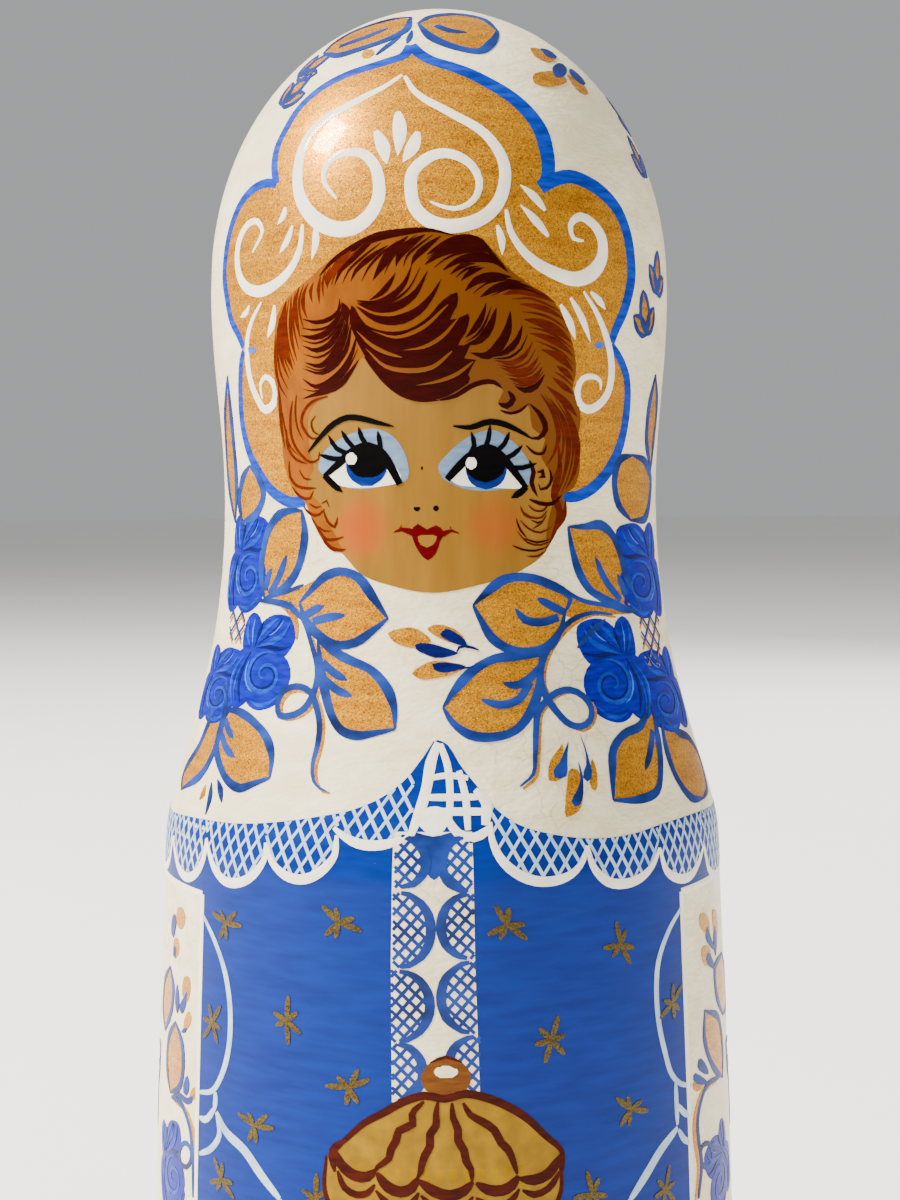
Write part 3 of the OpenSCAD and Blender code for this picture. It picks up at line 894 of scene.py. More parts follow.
def lace(b):
    """White lace along the shawl's lower edge: hatched scallops with a thick rim."""
    arcs = [spot(path) for path in (
        xy(174,836, 176,855, 180,870, 188,878, 200,868, 206,850, 207,838),
        xy(207,838, 209,850, 215,868, 225,880, 240,883, 258,870, 266,855, 266,843),
        xy(266,843, 272,862, 285,875, 300,880, 310,878, 325,868, 335,855, 337,835),
        xy(334,828, 343,836, 358,843, 375,845, 395,842, 412,834),
        xy(490,822, 492,840, 500,858, 515,872, 535,881, 555,881, 572,874, 583,860, 587,846),
        xy(587,846, 592,865, 608,882, 625,884, 640,878, 652,865, 659,848),
        xy(659,848, 666,870, 678,879, 690,875, 698,862, 703,845),
    )]
    start, end = arcs[-1][-1], arcs[0][0] + (2 * math.pi, 0)
    back_count, depth = 11, 7.0
    shares, hang = scallop(9)
    for k in range(back_count):
        arc = start + (end - start) * (k + shares)[:, None] / back_count
        arcs.append(arc + np.outer(depth * hang, (0, 1)))
    widths, spacing = [0.9, 1.3, 1.6, 1.7, 1.6, 1.3, 0.9], 2.2
    for arc in arcs:
        rim = b.flow(arc)
        loop = np.vstack([rim, np.column_stack([rim[::-1, 0], shawl_edge(rim[::-1, 0])])])
        if b.fine:
            b.hatch("mist", loop, spacing, 0.62, FIELD, 1.08)
            b.hatch("mist", loop, spacing, 0.5, FIELD + NUDGE, -0.95)
        b.stroke("white", rim, widths, COVER, RAISED, (0.7, 0.7), smooth=False)
    blot(b, "white", xy(415,820, 424,810, 436,806, 449,813, 448,824, 433,836, 421,828), COVER)
    point = [
        (xy(438,743, 431,762, 427,786, 421,808, 411,835), [8, 11, 10, 11, 8]),
        (xy(440,744, 447,764, 450,792, 449,822), 7),
        (xy(459,771, 465,795, 468,831), 7),
        (xy(429,779, 447,776, 468,778), 6),
        (xy(425,798, 446,797, 478,797), 7),
        (xy(416,815, 440,813, 486,811), 8),
        (xy(475,790, 486,803, 485,826), [7, 11, 9]),
        (xy(448,820, 458,833, 474,838, 491,828), 9),
    ]
    lines_of(b, "white", point, COVER, RAISED, FIRM)


def front_strip(b):
    """The ivory strip down the front, with half ovals of blue lattice along both edges."""
    rim = xy(394,832, 472,832, 475,960, 480,1095, 392,1102, 391,960)
    sides = zip(rim, np.roll(rim, -1, axis=0))
    b.fill("ivory", np.vstack([b.flow(spot([p, q]))[:-1] for p, q in sides]), FIELD)
    ovals = [
        (395, 836, 888, 429), (393, 892, 968, 434), (391, 970, 1042, 433), (392, 1043, 1101, 426),
        (472, 836, 892, 439), (474, 894, 959, 438), (477, 962, 1033, 438), (480, 1036, 1095, 446),
    ]
    for edge, top, bottom, reach in ovals:
        middle, tall, wide = (top + bottom) / 2, (bottom - top) / 2, reach - edge
        angles = np.linspace(-math.pi / 2, math.pi / 2, 17)
        bulge = np.maximum(np.cos(angles), 0) ** 0.8
        half = np.column_stack([edge + wide * bulge, middle + tall * np.sin(angles)])
        if b.fine:
            for angle in (0.75, -0.85):
                b.hatch("outline", spot(half), 1.6, 0.6, COVER, angle)
            arc = half[1:-1] - (math.copysign(3, wide), 0)
            line_of(b, "outline", arc, [5, 9, 10, 9, 5], LINE, ends=FIRM)
        else:
            b.fill("outline", spot(half), COVER)
    between = xy(410,832, 433,836, 458,832, 449,845, 443,862, 441,873, 434,880, 427,873, 425,862, 418,845)
    blot(b, "outline", between, FIELD + 2.5 * NUDGE)


def stars(b):
    """Bronze stars over the sarafan."""
    front = xy(
        226,923, 339,922, 507,925, 620,945, 287,1020, 551,1040, 213,1022, 672,1003, 349,1087, 255,1126,
        630,1110, 222,1179, 592,1194, 316,1198, 665,1190,
    )
    for k, centre in enumerate(spot(front)):
        star(b, centre, 3.5, 0.9 + 0.7 * k)
    lower = [(x, z) for z in (100, 78, 56, 34) for x in (-44, -30, 30, 44)]
    lower += [(-36, 45), (36, 45), (-36, 89), (36, 89)]
    for k, (x, height) in enumerate(lower):
        star(b, place(x, height), 3.3, 0.5 * k)
    for i in range(5):
        for j in range(7):
            turn = math.pi + math.radians(21 * (i - 2) + (5 if j % 2 else -5))
            star(b, (turn, way_at(158 - 21.5 * j)), 3.4, i + 2.0 * j)


def urn(b):
    """The gold tea urn held at the front, with a ringed lid. Below the brim it runs on over the seam."""
    dome = xy(
        333,1150, 345,1140, 365,1123, 385,1112, 405,1101, 425,1096, 445,1098, 465,1093, 485,1097, 505,1105,
        525,1117, 545,1135, 562,1152, 562,1172, 500,1190, 450,1195, 390,1190, 335,1172,
    )
    blot(b, "yellow", dome, COVER)
    side = [
        (19.5, 132), (19.8, 126), (17.5, 121), (20.5, 112), (21.5, 103), (19, 92), (14, 82), (8.5, 75),
        (7, 69), (9, 64), (16, 60), (17, 54), (17, 50),
    ]
    right, left = charted(side), charted(side[::-1], -1)
    b.fill("yellow", np.vstack([b.flow(right), b.flow(left)]), COVER)
    for edge in (right, left):
        b.stroke("brown", edge, 1.2, RELIEF)
    for height, wide in ((121, 17.5), (75, 8.5), (60, 16), (50, 17)):
        bow = charted([(x * wide, height - 1.2 * (1 - x * x)) for x in (-1, -0.5, 0, 0.5, 1)])
        b.stroke("brown", bow, [0.8, 1.4, 0.8], RELIEF)
    for x in (-12, -6, 0, 6, 12):
        b.stroke("brown", charted([(x, 119), (x * 1.18, 106), (x * 1.05, 92), (x * 0.55, 77)]), 0.7, LINE)
    handle = [(20, 113), (25, 115), (28, 108), (26, 100), (20.5, 97)]
    for way in (-1, 1):
        b.stroke("brown", charted(handle, way), 2.0, RELIEF)
    b.stroke("brown", charted([(0, 88), (0.4, 83), (0, 79)]), [2.2, 2.8, 1.6], RELIEF)
    b.fill("ochre", spot(oval(446, 1078, 25, 20)), RELIEF)
    b.fill("ivory", spot(oval(446, 1072, 12, 6)), TOUCH)
    line_of(b, "brown", xy(430,1062, 446,1057, 462,1062), 3, TOUCH)
    strokes = [
        (dome[:14], 8), (dome[[-1, 0, 1]], 8),
        (xy(424,1102, 412,1115, 413,1124, 399,1131, 396,1141, 391,1149, 389,1159, 378,1166, 374,1173), 8),
        (xy(438,1102, 436,1115, 436,1125, 430,1134, 430,1146, 425,1155, 422,1164, 420,1173, 417,1179), 8),
        (xy(452,1103, 453,1118, 458,1130, 458,1140, 464,1150, 466,1160, 471,1169, 472,1181), 8),
        (xy(463,1103, 470,1114, 482,1122, 494,1130, 501,1142, 508,1150, 513,1161, 517,1174), 8),
        (xy(335,1150, 341,1163, 355,1175, 368,1176, 376,1169), 11),
        (xy(377,1173, 388,1187, 401,1191, 412,1187, 418,1177), 11),
        (xy(419,1180, 434,1191, 450,1195, 464,1191, 473,1181), 11),
        (xy(476,1182, 488,1189, 502,1190, 512,1185, 518,1175), 11),
        (xy(519,1178, 534,1180, 548,1173, 560,1156), 11),
        (xy(338,1170, 345,1188, 357,1195, 368,1193, 375,1184), 7),
        (xy(376,1190, 388,1203, 401,1206, 412,1202, 419,1192), 7),
        (xy(421,1195, 434,1207, 450,1211, 464,1207, 473,1196), 7),
        (xy(476,1197, 488,1205, 502,1205, 512,1199, 519,1188), 7),
        (xy(522,1190, 534,1194, 548,1188, 560,1171), 7),
    ]
    lines_of(b, "brown", strokes, RELIEF)


def sleeves(b):
    """The white lines of the sleeves and cuffs on the front, and the hands on the urn."""
    lines = [
        (xy(204,915, 215,940, 225,970, 230,1000, 231,1020, 229,1050, 222,1075, 213,1090, 200,1092), 7),
        (xy(216,1092, 216,1100, 215,1110), 7), (xy(216,1108, 205,1120, 200,1117), 7),
        (xy(217,1112, 220,1135, 212,1148, 200,1153), 7),
        (xy(217,1112, 225,1130, 245,1150, 262,1175, 280,1199), 10),
        (xy(682,905, 668,930, 658,960, 656,995, 658,1020, 664,1050, 672,1075, 680,1083, 691,1085), 7),
        (xy(675,1082, 676,1105, 677,1125), 7), (xy(677,1105, 685,1113, 691,1115), 7),
        (xy(678,1130, 684,1140, 691,1143), 7),
        (xy(677,1128, 660,1150, 645,1175, 630,1199), 10),
    ]
    lines_of(b, "mist", lines, COVER, RAISED, (0.5, 0.5))
    sleeve_w = 1.6
    for end, way in zip(spot(xy(280,1199, 630,1199)), (-1, 1)):
        to_cuff = [end] + charted([(27.4, 113), (28, 103.5)], way)
        b.stroke("mist", to_cuff, sleeve_w, COVER, RAISED, (0.5, 0.8))
    hand = [(19.5, 96), (23, 100), (27.5, 99), (30, 95), (29, 89), (25, 86), (20.5, 88)]
    cuff = [(28, 103), (31, 98), (31, 90), (28.5, 84)]
    sleeve = [(29, 84.5), (36, 86), (45, 91), (55.5, 101)]
    for way in (-1, 1):
        b.fill("face", b.flow(charted(hand, way), closed=True), RELIEF)
        for k in range(3):
            finger = charted([(20, 96.5 - 2.7 * k), (25, 97 - 2.7 * k)], way)
            b.stroke("chestnut", finger, 0.4, TOUCH, dome=0.02, smooth=False)
        b.stroke("white", charted(cuff, way), 2.4, RELIEF, RAISED, FIRM)
        b.stroke("mist", charted(sleeve, way), sleeve_w, COVER, RAISED, FIRM)


# What each side panel carries along its front edge, by side
PANEL_MARKS = {
    -1: [
        ("gold", xy(178,909, 184,910, 186,918, 183,929, 179,927, 177,918)),
        ("outline", xy(175,914, 177,918, 176,930, 174,938, 172,930)),
        ("gold", xy(175,938, 179,940, 180,948, 177,957, 174,950)),
        ("outline", xy(175,945, 177,948, 176,958, 174,956)),
        ("gold", xy(185,977, 190,978, 191,990, 187,1002, 183,995)),
        ("outline", xy(188,990, 187,1002, 182,1013, 180,1008, 184,998)),
        ("outline", xy(178,985, 180,1000, 178,1013, 176,1003)),
        ("gold", xy(190,1011, 192,1018, 189,1027, 184,1029, 185,1020)),
        ("outline", xy(184,1029, 188,1028, 186,1033, 182,1032)),
        ("outline", xy(188,1076, 190,1084, 187,1096, 184,1093)),
        ("gold", xy(196,1087, 198,1093, 194,1100, 190,1098)),
        ("outline", xy(194,1096, 192,1103, 186,1103, 180,1098, 172,1096, 180,1092, 188,1098)),
    ],
    1: [
        ("gold", xy(699,916, 705,914, 709,924, 709,934, 704,933, 699,924)),
        ("gold", xy(712,910, 715,910, 717,925, 716,940, 713,930)),
        ("outline", xy(706,927, 710,936, 714,950, 709,946, 705,937)),
        ("outline", xy(714,925, 716,940, 715,955, 713,945)),
        ("gold", xy(701,950, 708,947, 711,955, 707,967, 702,962)),
        ("outline", xy(707,953, 712,960, 714,968, 709,966, 705,960)),
        ("outline", xy(698,1060, 706,1066, 708,1073, 701,1072, 697,1066)),
        ("outline", xy(693,1075, 702,1077, 707,1082, 699,1084, 693,1080)),
        ("gold", xy(692,1084, 703,1085, 700,1090, 693,1089)),
    ],
}
PANEL_STEMS = {
    -1: xy(172,1097, 183,1106, 190,1125, 193,1150, 194,1198),
    1: xy(720,1075, 703,1092, 697,1118, 698,1140, 701,1160, 698,1198),
}
PANEL_LEAVES = {
    -1: [
        (xy(176,1022, 169,1040, 168,1070, 171,1092), xy(171,1092, 181,1085, 184,1060, 182,1040, 176,1022)),
        (xy(171,966, 165,985, 164,1010, 166,1030), xy(166,1030, 173,1005, 174,985, 171,966)),
    ],
    1: [
        (xy(704,1010, 704,1040, 712,1065, 722,1078), xy(722,1078, 722,1050, 719,1022, 704,1010)),
        (xy(721,952, 714,970, 716,995, 722,1015), xy(722,1015, 727,1000, 727,975, 721,952)),
    ],
}
PANEL_ROSES = {-1: spot([(170, 1166)])[0], 1: spot([(721, 1166)])[0]}
PANEL_RINGS = {-1: oval(186, 1155, 6, 12, count=14), 1: oval(706, 1155, 6, 12, count=14)}


def panel_garland(b, way, drop, rear):
    """Marks, stem, leaves and rose along one edge of a side panel, lowered and for the rear edge mirrored."""
    def moved(pixels):
        chart = spot(pixels) + (0, drop)
        if rear:
            chart[:, 0] = way * math.pi - chart[:, 0]
        return chart

    for coat, mark in PANEL_MARKS[way]:
        b.fill(coat, b.flow(moved(mark), closed=True), COVER if coat == "gold" else LINE)
    b.stroke("gold", moved(PANEL_STEMS[way] + (-3 * way, 4)), 1.2, COVER)
    b.stroke("outline", moved(PANEL_STEMS[way]), 1.1, LINE, ends=(0.4, 0.6))
    for edges in PANEL_LEAVES[way]:
        upper, lower = (moved(edge) for edge in (edges[::-1] if rear else edges))
        leaf(b, upper, lower, width=7.0)
    turn, level = PANEL_ROSES[way] + (0, drop)
    rose(b, (way * math.pi - turn if rear else turn, level), 7.5, 8.0, 0.3)
    ring = moved(PANEL_RINGS[way])
    b.stroke("outline", b.flow(np.vstack([ring, ring[:1]])), 0.9, LINE, ends=SQUARE, smooth=False)


def side_panels(b):
    """The white edges of the side panels, the garlands along them, and the leaves and roses between."""
    front, back = PANEL_FRONT, math.pi - PANEL_FRONT
    rim_w, bar_count, second_drop = 1.2, 24, 58
    for way in (-1, 1):
        rails = [
            np.column_stack([np.full(2, way * turn), [PANEL_TOP, PANEL_BOTTOM]]) for turn in (front, back)
        ]
        bars = [
            np.column_stack([way * np.linspace(front, back, bar_count), np.full(bar_count, level)])
            for level in (PANEL_TOP, PANEL_BOTTOM)
        ]
        for rim in [b.flow(rail) for rail in rails] + bars:
            b.stroke("white", rim, rim_w, COVER, RAISED, SQUARE, smooth=False)
        for rear in (False, True):
            for drop in (0, second_drop):
                panel_garland(b, way, drop, rear)
        for height in (118, 60):
            spray(b, way * math.pi / 2, height)
        for turn in (75, 105):
            low = (way * math.radians(turn), way_at(29))
            for lean in (35, 90, 145, 215, 325):
                grown_leaf(b, low, 12, 6, lean, veined=b.fine > 0)
            rose(b, low, 5.5, 5.5, turn)


def spray(b, turn, height):
    """Gold leaves that climb the middle of a side panel."""
    sprigs = [
        (0, 18, 18, 9, 90), (-2, 12, 14, 7, 140), (2, 12, 14, 7, 40), (0, 2, 13, 7, 125), (0, 2, 13, 7, 55),
        (0, -10, 11, 6, 235), (0, -10, 11, 6, 305),
    ]
    centre = (turn, way_at(height))
    b.stroke("outline", local(centre, [(0, 18), (1, 8), (-1, -4), (0, -16)]), 1.0, LINE)
    for across, up, length, width, lean in sprigs:
        grown_leaf(b, local(centre, [(across, up)])[0], length, width, lean, veined=b.fine > 0)
    for lean in (-115, -90, -65):
        tip = math.radians(lean)
        path = np.outer([0, 4, 7], [math.cos(tip), math.sin(tip)]) + (0, -16)
        b.stroke("gold", local(centre, path), [0.5, 1.7, 1.1], LINE)


def hem(b):
    """A gold line and white scallops round the foot of the sarafan."""
    count, ring_count, depth = 24, 97, 5.0
    level = way_at(8)
    ring = np.column_stack([np.linspace(-math.pi, math.pi, ring_count), np.full(ring_count, level)])
    b.stroke("gold", ring, 2.2, FIELD, ends=SQUARE, smooth=False)
    shares, hang = scallop(7)
    for k in range(count):
        arc = np.column_stack([2 * math.pi * (k + shares) / count, level - 1.5 - depth * hang])
        b.stroke("white", arc, [0.8, 1.3, 0.8], LINE, RAISED)


def paint(step, fine):
    """All the coats of one doll. Small dolls take longer steps and fewer marks."""
    b = Brush(step, fine)
    for motif in (ground, headdress, face, hair, crown_leaves, throat_sprig):
        motif(b)
    for b.turn in (0.0, math.pi):
        bouquets(b)
    b.turn = 0.0
    for motif in (lace, front_strip, side_panels, stars, sleeves, urn, hem):
        motif(b)
    return b.coats


# Materials

def tone(red, green, blue):
    """A linear colour from display values out of 255."""
    values = [c / 255 for c in (red, green, blue)]
    return tuple(c / 12.92 if c < 0.04045 else ((c + 0.055) / 1.055) ** 2.4 for c in values) + (1.0,)


def feed(tree, socket, value):
    """Sets an input, or joins it to the output that drives it."""
    if isinstance(value, bpy.types.NodeSocket):
        tree.links.new(value, socket)
    else:
        socket.default_value = value


def wire(tree, node, **inputs):
    """Feeds a node's inputs, named with underscores for blanks."""
    for name, value in inputs.items():
        feed(tree, node.inputs[name.replace("_", " ")], value)
    return node


def add(tree, kind, **inputs):
    """A new node with its inputs fed."""
    return wire(tree, tree.nodes.new("ShaderNode" + kind), **inputs)


def new_material(name, rough, coat, shine=0.08):
    """A material under a coat of lacquer, with its nodes and its shader."""
    made = bpy.data.materials.new(name)
    made.use_nodes = True
    tree = made.node_tree
    shader = tree.nodes["Principled BSDF"]
    wire(tree, shader, Roughness=rough, Specular_IOR_Level=shine, Coat_Weight=coat, Coat_Roughness=0.06)
    return made, tree, shader


def own_place(tree):
    """The object's own coordinates, in metres."""
    return tree.nodes.new("ShaderNodeTexCoord").outputs["Object"]


def noise(tree, scale, stretch=(1, 1, 1), detail=4.0):
    """The outputs of noise on the object's own coordinates, in features per metre."""
    mapping = add(tree, "Mapping", Vector=own_place(tree), Scale=stretch)
    return add(tree, "TexNoise", Vector=mapping.outputs["Vector"], Scale=scale, Detail=detail).outputs


def ramp(tree, factor, stops):
    """Colours by a factor, as pairs of place and colour."""
    made = add(tree, "ValToRGB", Fac=factor)
    elements = made.color_ramp.elements
    while len(elements) < len(stops):
        elements.new(0.5)
    for element, (at, colour) in zip(elements, stops):
        element.position = at
        element.color = colour
    return made.outputs["Color"]


def remap(tree, factor, **limits):
    """A factor moved from one range to another."""
    return add(tree, "MapRange", Value=factor, **limits).outputs["Result"]


def bump(tree, height, depth):
    """Relief of a depth in metres."""
    return add(tree, "Bump", Strength=1.0, Distance=depth, Height=height).outputs["Normal"]


def mixed(tree, factor, first, second, blend="MIX"):
    """Two colours blended by a factor."""
    made = tree.nodes.new("ShaderNodeMix")
    made.data_type = "RGBA"
    made.blend_type = blend
    return wire(tree, made, Factor=factor, A=first, B=second).outputs["Result"]


def brushed(
    name, dark, light, scale=260.0, stretch=(1, 1, 5), rough=(0.35, 0.55), coat=0.12, depth=2e-5, shine=0.08
):
    """Lacquered paint with brush streaks round the doll and a fine uneven skin."""
    made, tree, shader = new_material(name, rough[0], coat, shine)
    streaks = noise(tree, scale, stretch, 5.0)["Fac"]
    wire(
        tree, shader,
        Base_Color=ramp(tree, streaks, [(0.3, dark), (0.68, light)]),
        Roughness=remap(tree, streaks, To_Min=rough[0], To_Max=rough[1]),
        Normal=bump(tree, noise(tree, scale * 4, stretch, 3.0)["Fac"], depth),
    )
    return made


def aged(made, soil, crack):
    """Soils a coat unevenly and draws hairline cracks in patches of it."""
    tree = made.node_tree
    base = tree.nodes["Principled BSDF"].inputs["Base Color"]
    wander = 0.003
    shift = tree.nodes.new("ShaderNodeVectorMath")
    shift.operation = "MULTIPLY_ADD"
    terms = (noise(tree, 400.0, detail=2.0)["Color"], (wander,) * 3, own_place(tree))
    for socket, value in zip(shift.inputs, terms):
        feed(tree, socket, value)
    cells = add(tree, "TexVoronoi", Vector=shift.outputs["Vector"], Scale=170.0)
    cells.feature = "DISTANCE_TO_EDGE"
    line = remap(tree, cells.outputs["Distance"], From_Max=0.035, To_Min=0.5, To_Max=0.0)
    patch = remap(tree, noise(tree, 34.0, detail=3.0)["Fac"], From_Min=0.52, From_Max=0.66)
    amount = tree.nodes.new("ShaderNodeMath")
    amount.operation = "MULTIPLY"
    for socket, value in zip(amount.inputs, (line, patch)):
        feed(tree, socket, value)
    patches = noise(tree, 70.0, (1, 1, 1.6), 6.0)["Fac"]
    dirt = remap(tree, patches, From_Min=0.45, From_Max=0.75, To_Max=0.55)
    for factor, colour in ((dirt, soil), (amount.outputs["Value"], crack)):
        feed(tree, base, mixed(tree, factor, base.links[0].from_socket, colour))
    return made


def flaked(name, dark, light, metal=0.75):
    """Bronze flakes in lacquer: each small cell catches the light by itself."""
    made, tree, shader = new_material(name, 0.4, 0.18)
    cells = add(tree, "TexVoronoi", Vector=own_place(tree), Scale=5200.0)
    flake = add(tree, "SeparateColor", Color=cells.outputs["Color"]).outputs
    middle = tuple((a + b) / 2 for a, b in zip(dark, light))
    colour = ramp(tree, flake["Red"], [(0.0, dark), (0.35, middle), (1.0, light)])
    streaks = noise(tree, 110.0, (1, 1, 7), 4.0)["Fac"]
    shade = ramp(tree, streaks, [(0.32, (0.72, 0.66, 0.55, 1.0)), (0.66, (1.0, 1.0, 1.0, 1.0))])
    wire(
        tree, shader,
        Base_Color=mixed(tree, 1.0, colour, shade, "MULTIPLY"),
        Metallic=remap(tree, flake["Green"], To_Min=metal - 0.3, To_Max=metal),
        Roughness=remap(tree, flake["Blue"], To_Min=0.25, To_Max=0.55),
        Normal=bump(tree, flake["Green"], 2e-5),
    )
    return made


def tinted(name, dark, light, tint, scale, stretch, rough, coat=0.16):
    """A streaked coat that turns to another colour by the tint kept on its points: blush on the face, painted
    shade on the hair.
    """
    made, tree, shader = new_material(name, rough, coat)
    streaks = noise(tree, scale, stretch, 6.0)["Fac"]
    mark = tree.nodes.new("ShaderNodeAttribute")
    mark.attribute_name = "tint"
    base = ramp(tree, streaks, [(0.3, dark), (0.7, light)])
    wire(
        tree, shader,
        Base_Color=mixed(tree, mark.outputs["Fac"], base, tint),
        Roughness=remap(tree, streaks, To_Min=rough, To_Max=rough + 0.2),
        Normal=bump(tree, streaks, 4e-5),
    )
    return made


def limewood(name):
    """Bare turned limewood: pale, with rings from the tool and a soft grain up the doll."""
    made, tree, shader = new_material(name, 0.55, 0.0)
    grain = noise(tree, 45.0, (6, 6, 0.5), 6.0)["Fac"]
    stops = [(0.28, tone(176, 132, 84)), (0.55, tone(214, 174, 122)), (0.78, tone(231, 198, 150))]
    wire(
        tree, shader,
        Base_Color=ramp(tree, grain, stops),
        Roughness=remap(tree, grain, To_Min=0.45, To_Max=0.7),
        Normal=bump(tree, noise(tree, 40.0, (0.2, 0.2, 45), 4.0)["Fac"], 6e-5),
    )
    return made


def make_materials():
    """The coats of paint by name, most of them between a dark and a light colour."""
    even = {"scale": 300.0, "stretch": (1, 1, 1)}
    raised = {**even, "rough": (0.4, 0.55), "coat": 0.15, "depth": 5e-5}
    dull = {"coat": 0.05, "shine": 0.03}
    matt = {"coat": 0.04, "shine": 0.02}
    ivory = brushed(
        "ivory_coat", tone(224, 211, 172), tone(240, 230, 196), 160.0, (1, 1, 2), (0.35, 0.5), 0.2, 2.2e-4
    )
    blue = brushed("blue_coat", tone(0, 30, 108), tone(1, 40, 128), 120.0, (1, 1, 6), (0.4, 0.55))
    # The hair's second colour is painted shade, laid over its right side by the tint on its points
    hair = tinted(
        "amber_hair", tone(114, 57, 0), tone(140, 77, 0), tone(100, 54, 0), 180.0, (2, 2, 1), 0.36
    )
    face = tinted(
        "face_wood", tone(124, 86, 23), tone(138, 98, 29), tone(172, 58, 10), 60.0, (6, 6, 1), 0.38
    )
    return {
        "ivory": aged(ivory, tone(206, 190, 148), tone(120, 104, 76)),
        "white": brushed("white_relief", tone(228, 220, 198), tone(242, 237, 222), **raised),
        "mist": brushed("lace_mist", tone(140, 166, 196), tone(186, 204, 216), **raised),
        "blue": blue,
        "cobalt": brushed("cobalt_line", tone(4, 32, 122), tone(14, 62, 182)),
        "outline": brushed("slate_line", tone(10, 22, 64), tone(30, 60, 144), 110.0, (1, 1, 2)),
        "rose": brushed("rose_blue", tone(0, 6, 108), tone(2, 21, 158)),
        "sky": brushed("sky_touch", tone(22, 68, 178), tone(58, 112, 210)),
        "navy": brushed("navy_touch", tone(1, 5, 54), tone(4, 14, 90)),
        "pale": brushed("pale_touch", tone(88, 114, 146), tone(116, 140, 164)),
        "gold": flaked("gold_flake", tone(146, 82, 4), tone(222, 158, 22), 0.6),
        "bronze": flaked("bronze_star", tone(44, 36, 12), tone(104, 86, 34)),
        "yellow": brushed("urn_yellow", tone(118, 86, 0), tone(148, 110, 1), **even),
        "ochre": brushed("urn_ochre", tone(84, 42, 0), tone(108, 60, 0)),
        "brown": brushed("brown_line", tone(46, 10, 5), tone(70, 20, 8), **dull),
        "hair": hair,
        "umber": brushed("umber_stroke", tone(34, 2, 1), tone(48, 5, 2), **matt),
        "chestnut": brushed("chestnut_stroke", tone(66, 15, 0), tone(90, 26, 1), **dull),
        "face": face,
        "iris": brushed("iris_blue", tone(7, 24, 92), tone(16, 44, 128), **dull),
        "black": brushed("black_line", tone(3, 3, 4), tone(6, 5, 5), **matt),
        "red": brushed("lip_red", tone(66, 1, 1), tone(88, 2, 2), **dull),
    }


# Middle, size in millimetres and strength of the blush on each cheek
CHEEKS = [(spot([(361, 528)])[0], 4.6, 0.62), (spot([(495, 526)])[0], 4.6, 0.42)]
# The azimuth where painted shade begins to darken the hair, and over how much of a turn it does
SHADE_START, SHADE_SPAN = -0.62, 0.66


def tint_of(coat, chart):
    """How far each point of a coat turns to its second colour: blush on the face, painted shade that darkens
    the hair towards its right.
    """
    if coat == "hair":
        share = np.clip((chart[:, 0] - SHADE_START) / SHADE_SPAN, 0, 1)
        return share * share * (3 - 2 * share)
    tint = np.zeros(len(chart))
    for (turn, way), size, strength in CHEEKS:
        far = np.hypot((chart[:, 0] - turn) * radius_at(way), chart[:, 1] - way) / size
        tint += strength * np.exp(-far**4)
    return tint


# Pieces

def paint_share(size):
    """How thick the paint is on a doll of a size beside the largest: it thins less than the doll shrinks."""
    return 0.4 + 0.6 * size


def on_doll(chart, size, foot):
    """Chart points in space, in metres, on a doll of a size beside the largest."""
    turn, way, lift = chart.T
    lift = lift * paint_share(size)
    out = size * np.interp(way, WAYS, RADII) + lift * np.interp(way, WAYS, OUTWARD[:, 0])
    height = foot + size * np.interp(way, WAYS, HEIGHTS) + lift * np.interp(way, WAYS, OUTWARD[:, 1])
    return np.column_stack([out * np.sin(turn), -out * np.cos(turn), height]) * MM


def cut_level(mesh, level, keep_above):
    """Keeps the part of a mesh on one side of a level."""
    shape = bmesh.new()
    shape.from_mesh(mesh)
    bmesh.ops.bisect_plane(
        shape, geom=shape.verts[:] + shape.edges[:] + shape.faces[:], dist=1e-8, plane_co=(0, 0, level),
        plane_no=(0, 0, 1), clear_inner=keep_above, clear_outer=not keep_above,
    )
    shape.to_mesh(mesh)
    shape.free()


def crisp_rim(mesh):
    """Marks the open edges sharp, so that a film of paint shades flat up to its rim."""
    count = np.zeros(len(mesh.edges), int)
    sides = np.empty(len(mesh.loops), int)
    mesh.loops.foreach_get("edge_index", sides)
    np.add.at(count, sides, 1)
    mesh.edges.foreach_set("use_edge_sharp", count == 1)


def coat_piece(node, coat, material, chart, faces, doll, band):
    """One coat of paint on one turned piece, between the levels that the piece reaches."""
    size, foot = doll
    points = on_doll(chart, size, foot)
    low, high = band
    heights = points[:, 2]
    shown = [f for f in faces if heights[f].max() > low and heights[f].min() < high]
    if not shown:
        return
    mesh = bpy.data.meshes.new(f"{node}_{coat}")
    mesh.from_pydata(points.tolist(), [], [f.tolist() for f in shown])
    # The tint on the points: blush on the face, and painted shade on the hair
    if coat in ("hair", "face"):
        tint = mesh.attributes.new("tint", "FLOAT", "POINT")
        tint.data.foreach_set("value", tint_of(coat, chart).astype(np.float32))
    shape = bmesh.new()
    shape.from_mesh(mesh)
    bmesh.ops.delete(shape, geom=[v for v in shape.verts if not v.link_faces], context="VERTS")
    shape.to_mesh(mesh)
    shape.free()
    heights = [v.co.z for v in mesh.vertices]
    if min(heights) < low:
        cut_level(mesh, low, True)
    if max(heights) > high:
        cut_level(mesh, high, False)
    mesh.polygons.foreach_set("use_smooth", [True] * len(mesh.polygons))
    crisp_rim(mesh)
    mesh.materials.append(material)
    piece = bpy.data.objects.new(mesh.name, mesh)
    bpy.context.scene.collection.objects.link(piece)
    film = piece.modifiers.new("film", "SOLIDIFY")
    film.thickness = FILM * MM * paint_share(size)
    film.offset = -1
    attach(piece, node)


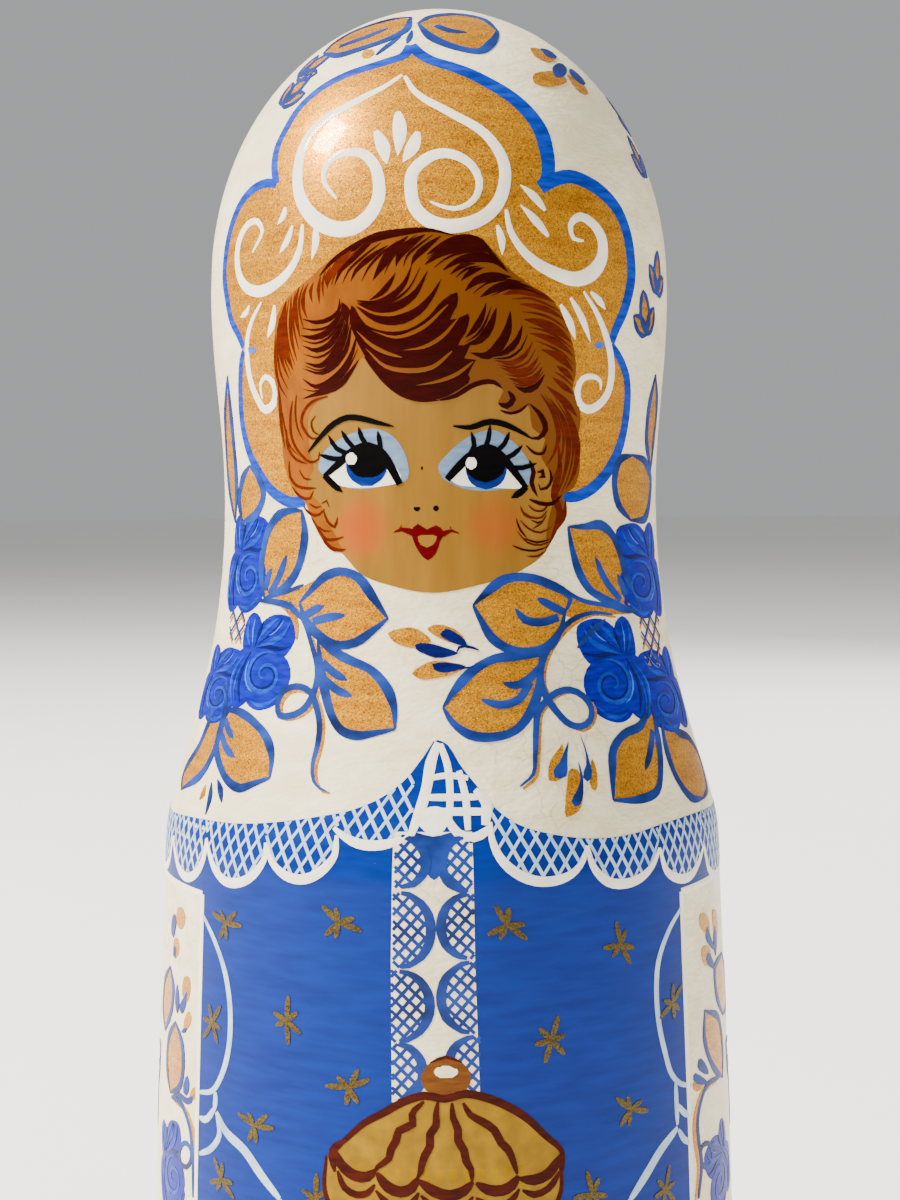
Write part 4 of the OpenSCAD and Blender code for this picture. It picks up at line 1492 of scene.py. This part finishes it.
def build_dolls():
    """Bare wood on every turned piece, and the paint of its doll over it."""
    materials = make_materials()
    wood = limewood("limewood")
    # Three paintings, by how fine they are, with the step of the brush in millimetres
    paintings = {fine: paint(step, fine) for fine, step in ((2, 1.4), (1, 2.2), (0, 3.6))}
    lowest, highest = -1.0, 1.0
    for n, (top, base) in enumerate(DOLLS):
        fine = 2 if n == 0 else 1 if n < 4 else 0
        foot, crown = corners(base)[0], corners(top)[1]
        size = (crown - foot) / DOLL_H
        seam = corners(top)[0]
        for node in dict.fromkeys((top, base)):
            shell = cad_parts[node].data
            shell.materials.clear()
            shell.materials.append(wood)
            low = (seam + SEAM_LINE * size) * MM if node == top and top != base else lowest
            high = (seam - SEAM_LINE * size) * MM if node == base and top != base else highest
            for coat, (places, polygons) in paintings[fine].items():
                chart = np.vstack(places)
                faces = [face for group in polygons for face in group]
                coat_piece(node, coat, materials[coat], chart, faces, (size, foot), (low, high))


# The studio

def stage_floor():
    """A wide pale floor just under the foot."""
    reach, drop = 40.0, 0.0002
    made, tree, shader = new_material("pale_floor", 0.75, 0.0)
    soft = noise(tree, 3.0, (1, 1, 1), 3.0)["Fac"]
    wire(tree, shader, Base_Color=ramp(tree, soft, [(0.3, tone(250, 249, 246)), (0.7, tone(253, 252, 249))]))
    level = FOOT_Z * MM - drop
    square = ((-reach, -reach), (reach, -reach), (reach, reach), (-reach, reach))
    mesh = bpy.data.meshes.new("floor")
    mesh.from_pydata([(x, y, level) for x, y in square], [], [(0, 1, 2, 3)])
    mesh.materials.append(made)
    floor = bpy.data.objects.new("floor", mesh)
    bpy.context.scene.collection.objects.link(floor)


def area_light(name, at, aim, size, power, colour, mirrored=True):
    """A square lamp that faces a point, hidden from reflections unless it is mirrored."""
    data = bpy.data.lights.new(name, "AREA")
    data.size = size
    data.energy = power
    data.color = colour
    lamp = bpy.data.objects.new(name, data)
    lamp.visible_glossy = mirrored
    bpy.context.scene.collection.objects.link(lamp)
    way = np.subtract(aim, at)
    turn = math.atan2(way[1], way[0]) - math.pi / 2
    tilt = math.atan2(np.hypot(way[0], way[1]), -way[2])
    lamp.matrix_world = Matrix.Translation(at) @ Euler((tilt, 0, turn)).to_matrix().to_4x4()


def light_studio():
    """A key light from the upper left, weak lights from the right and behind, and a pale surround."""
    middle = (0, 0, 0.2)
    area_light("key", (-2.1, -0.55, 2.5), middle, 0.6, 400, (1.0, 0.94, 0.85))
    area_light("fill", (1.9, -1.7, 1.3), middle, 1.4, 20, (0.97, 0.98, 1.0), mirrored=False)
    area_light("back", (1.0, 1.8, 1.4), middle, 1.2, 50, (1.0, 0.98, 0.95), mirrored=False)
    world = bpy.data.worlds.new("studio")
    world.use_nodes = True
    wire(world.node_tree, world.node_tree.nodes["Background"], Color=tone(232, 233, 235), Strength=0.5)
    bpy.context.scene.world = world


def place_camera():
    """The photograph's camera."""
    data = bpy.data.cameras.new("camera")
    data.lens = LENS
    data.sensor_width = SENSOR
    camera = bpy.data.objects.new("camera", data)
    bpy.context.scene.collection.objects.link(camera)
    camera.matrix_world = camera_matrix()
    bpy.context.scene.camera = camera


place_camera()
build_dolls()
stage_floor()
light_studio()
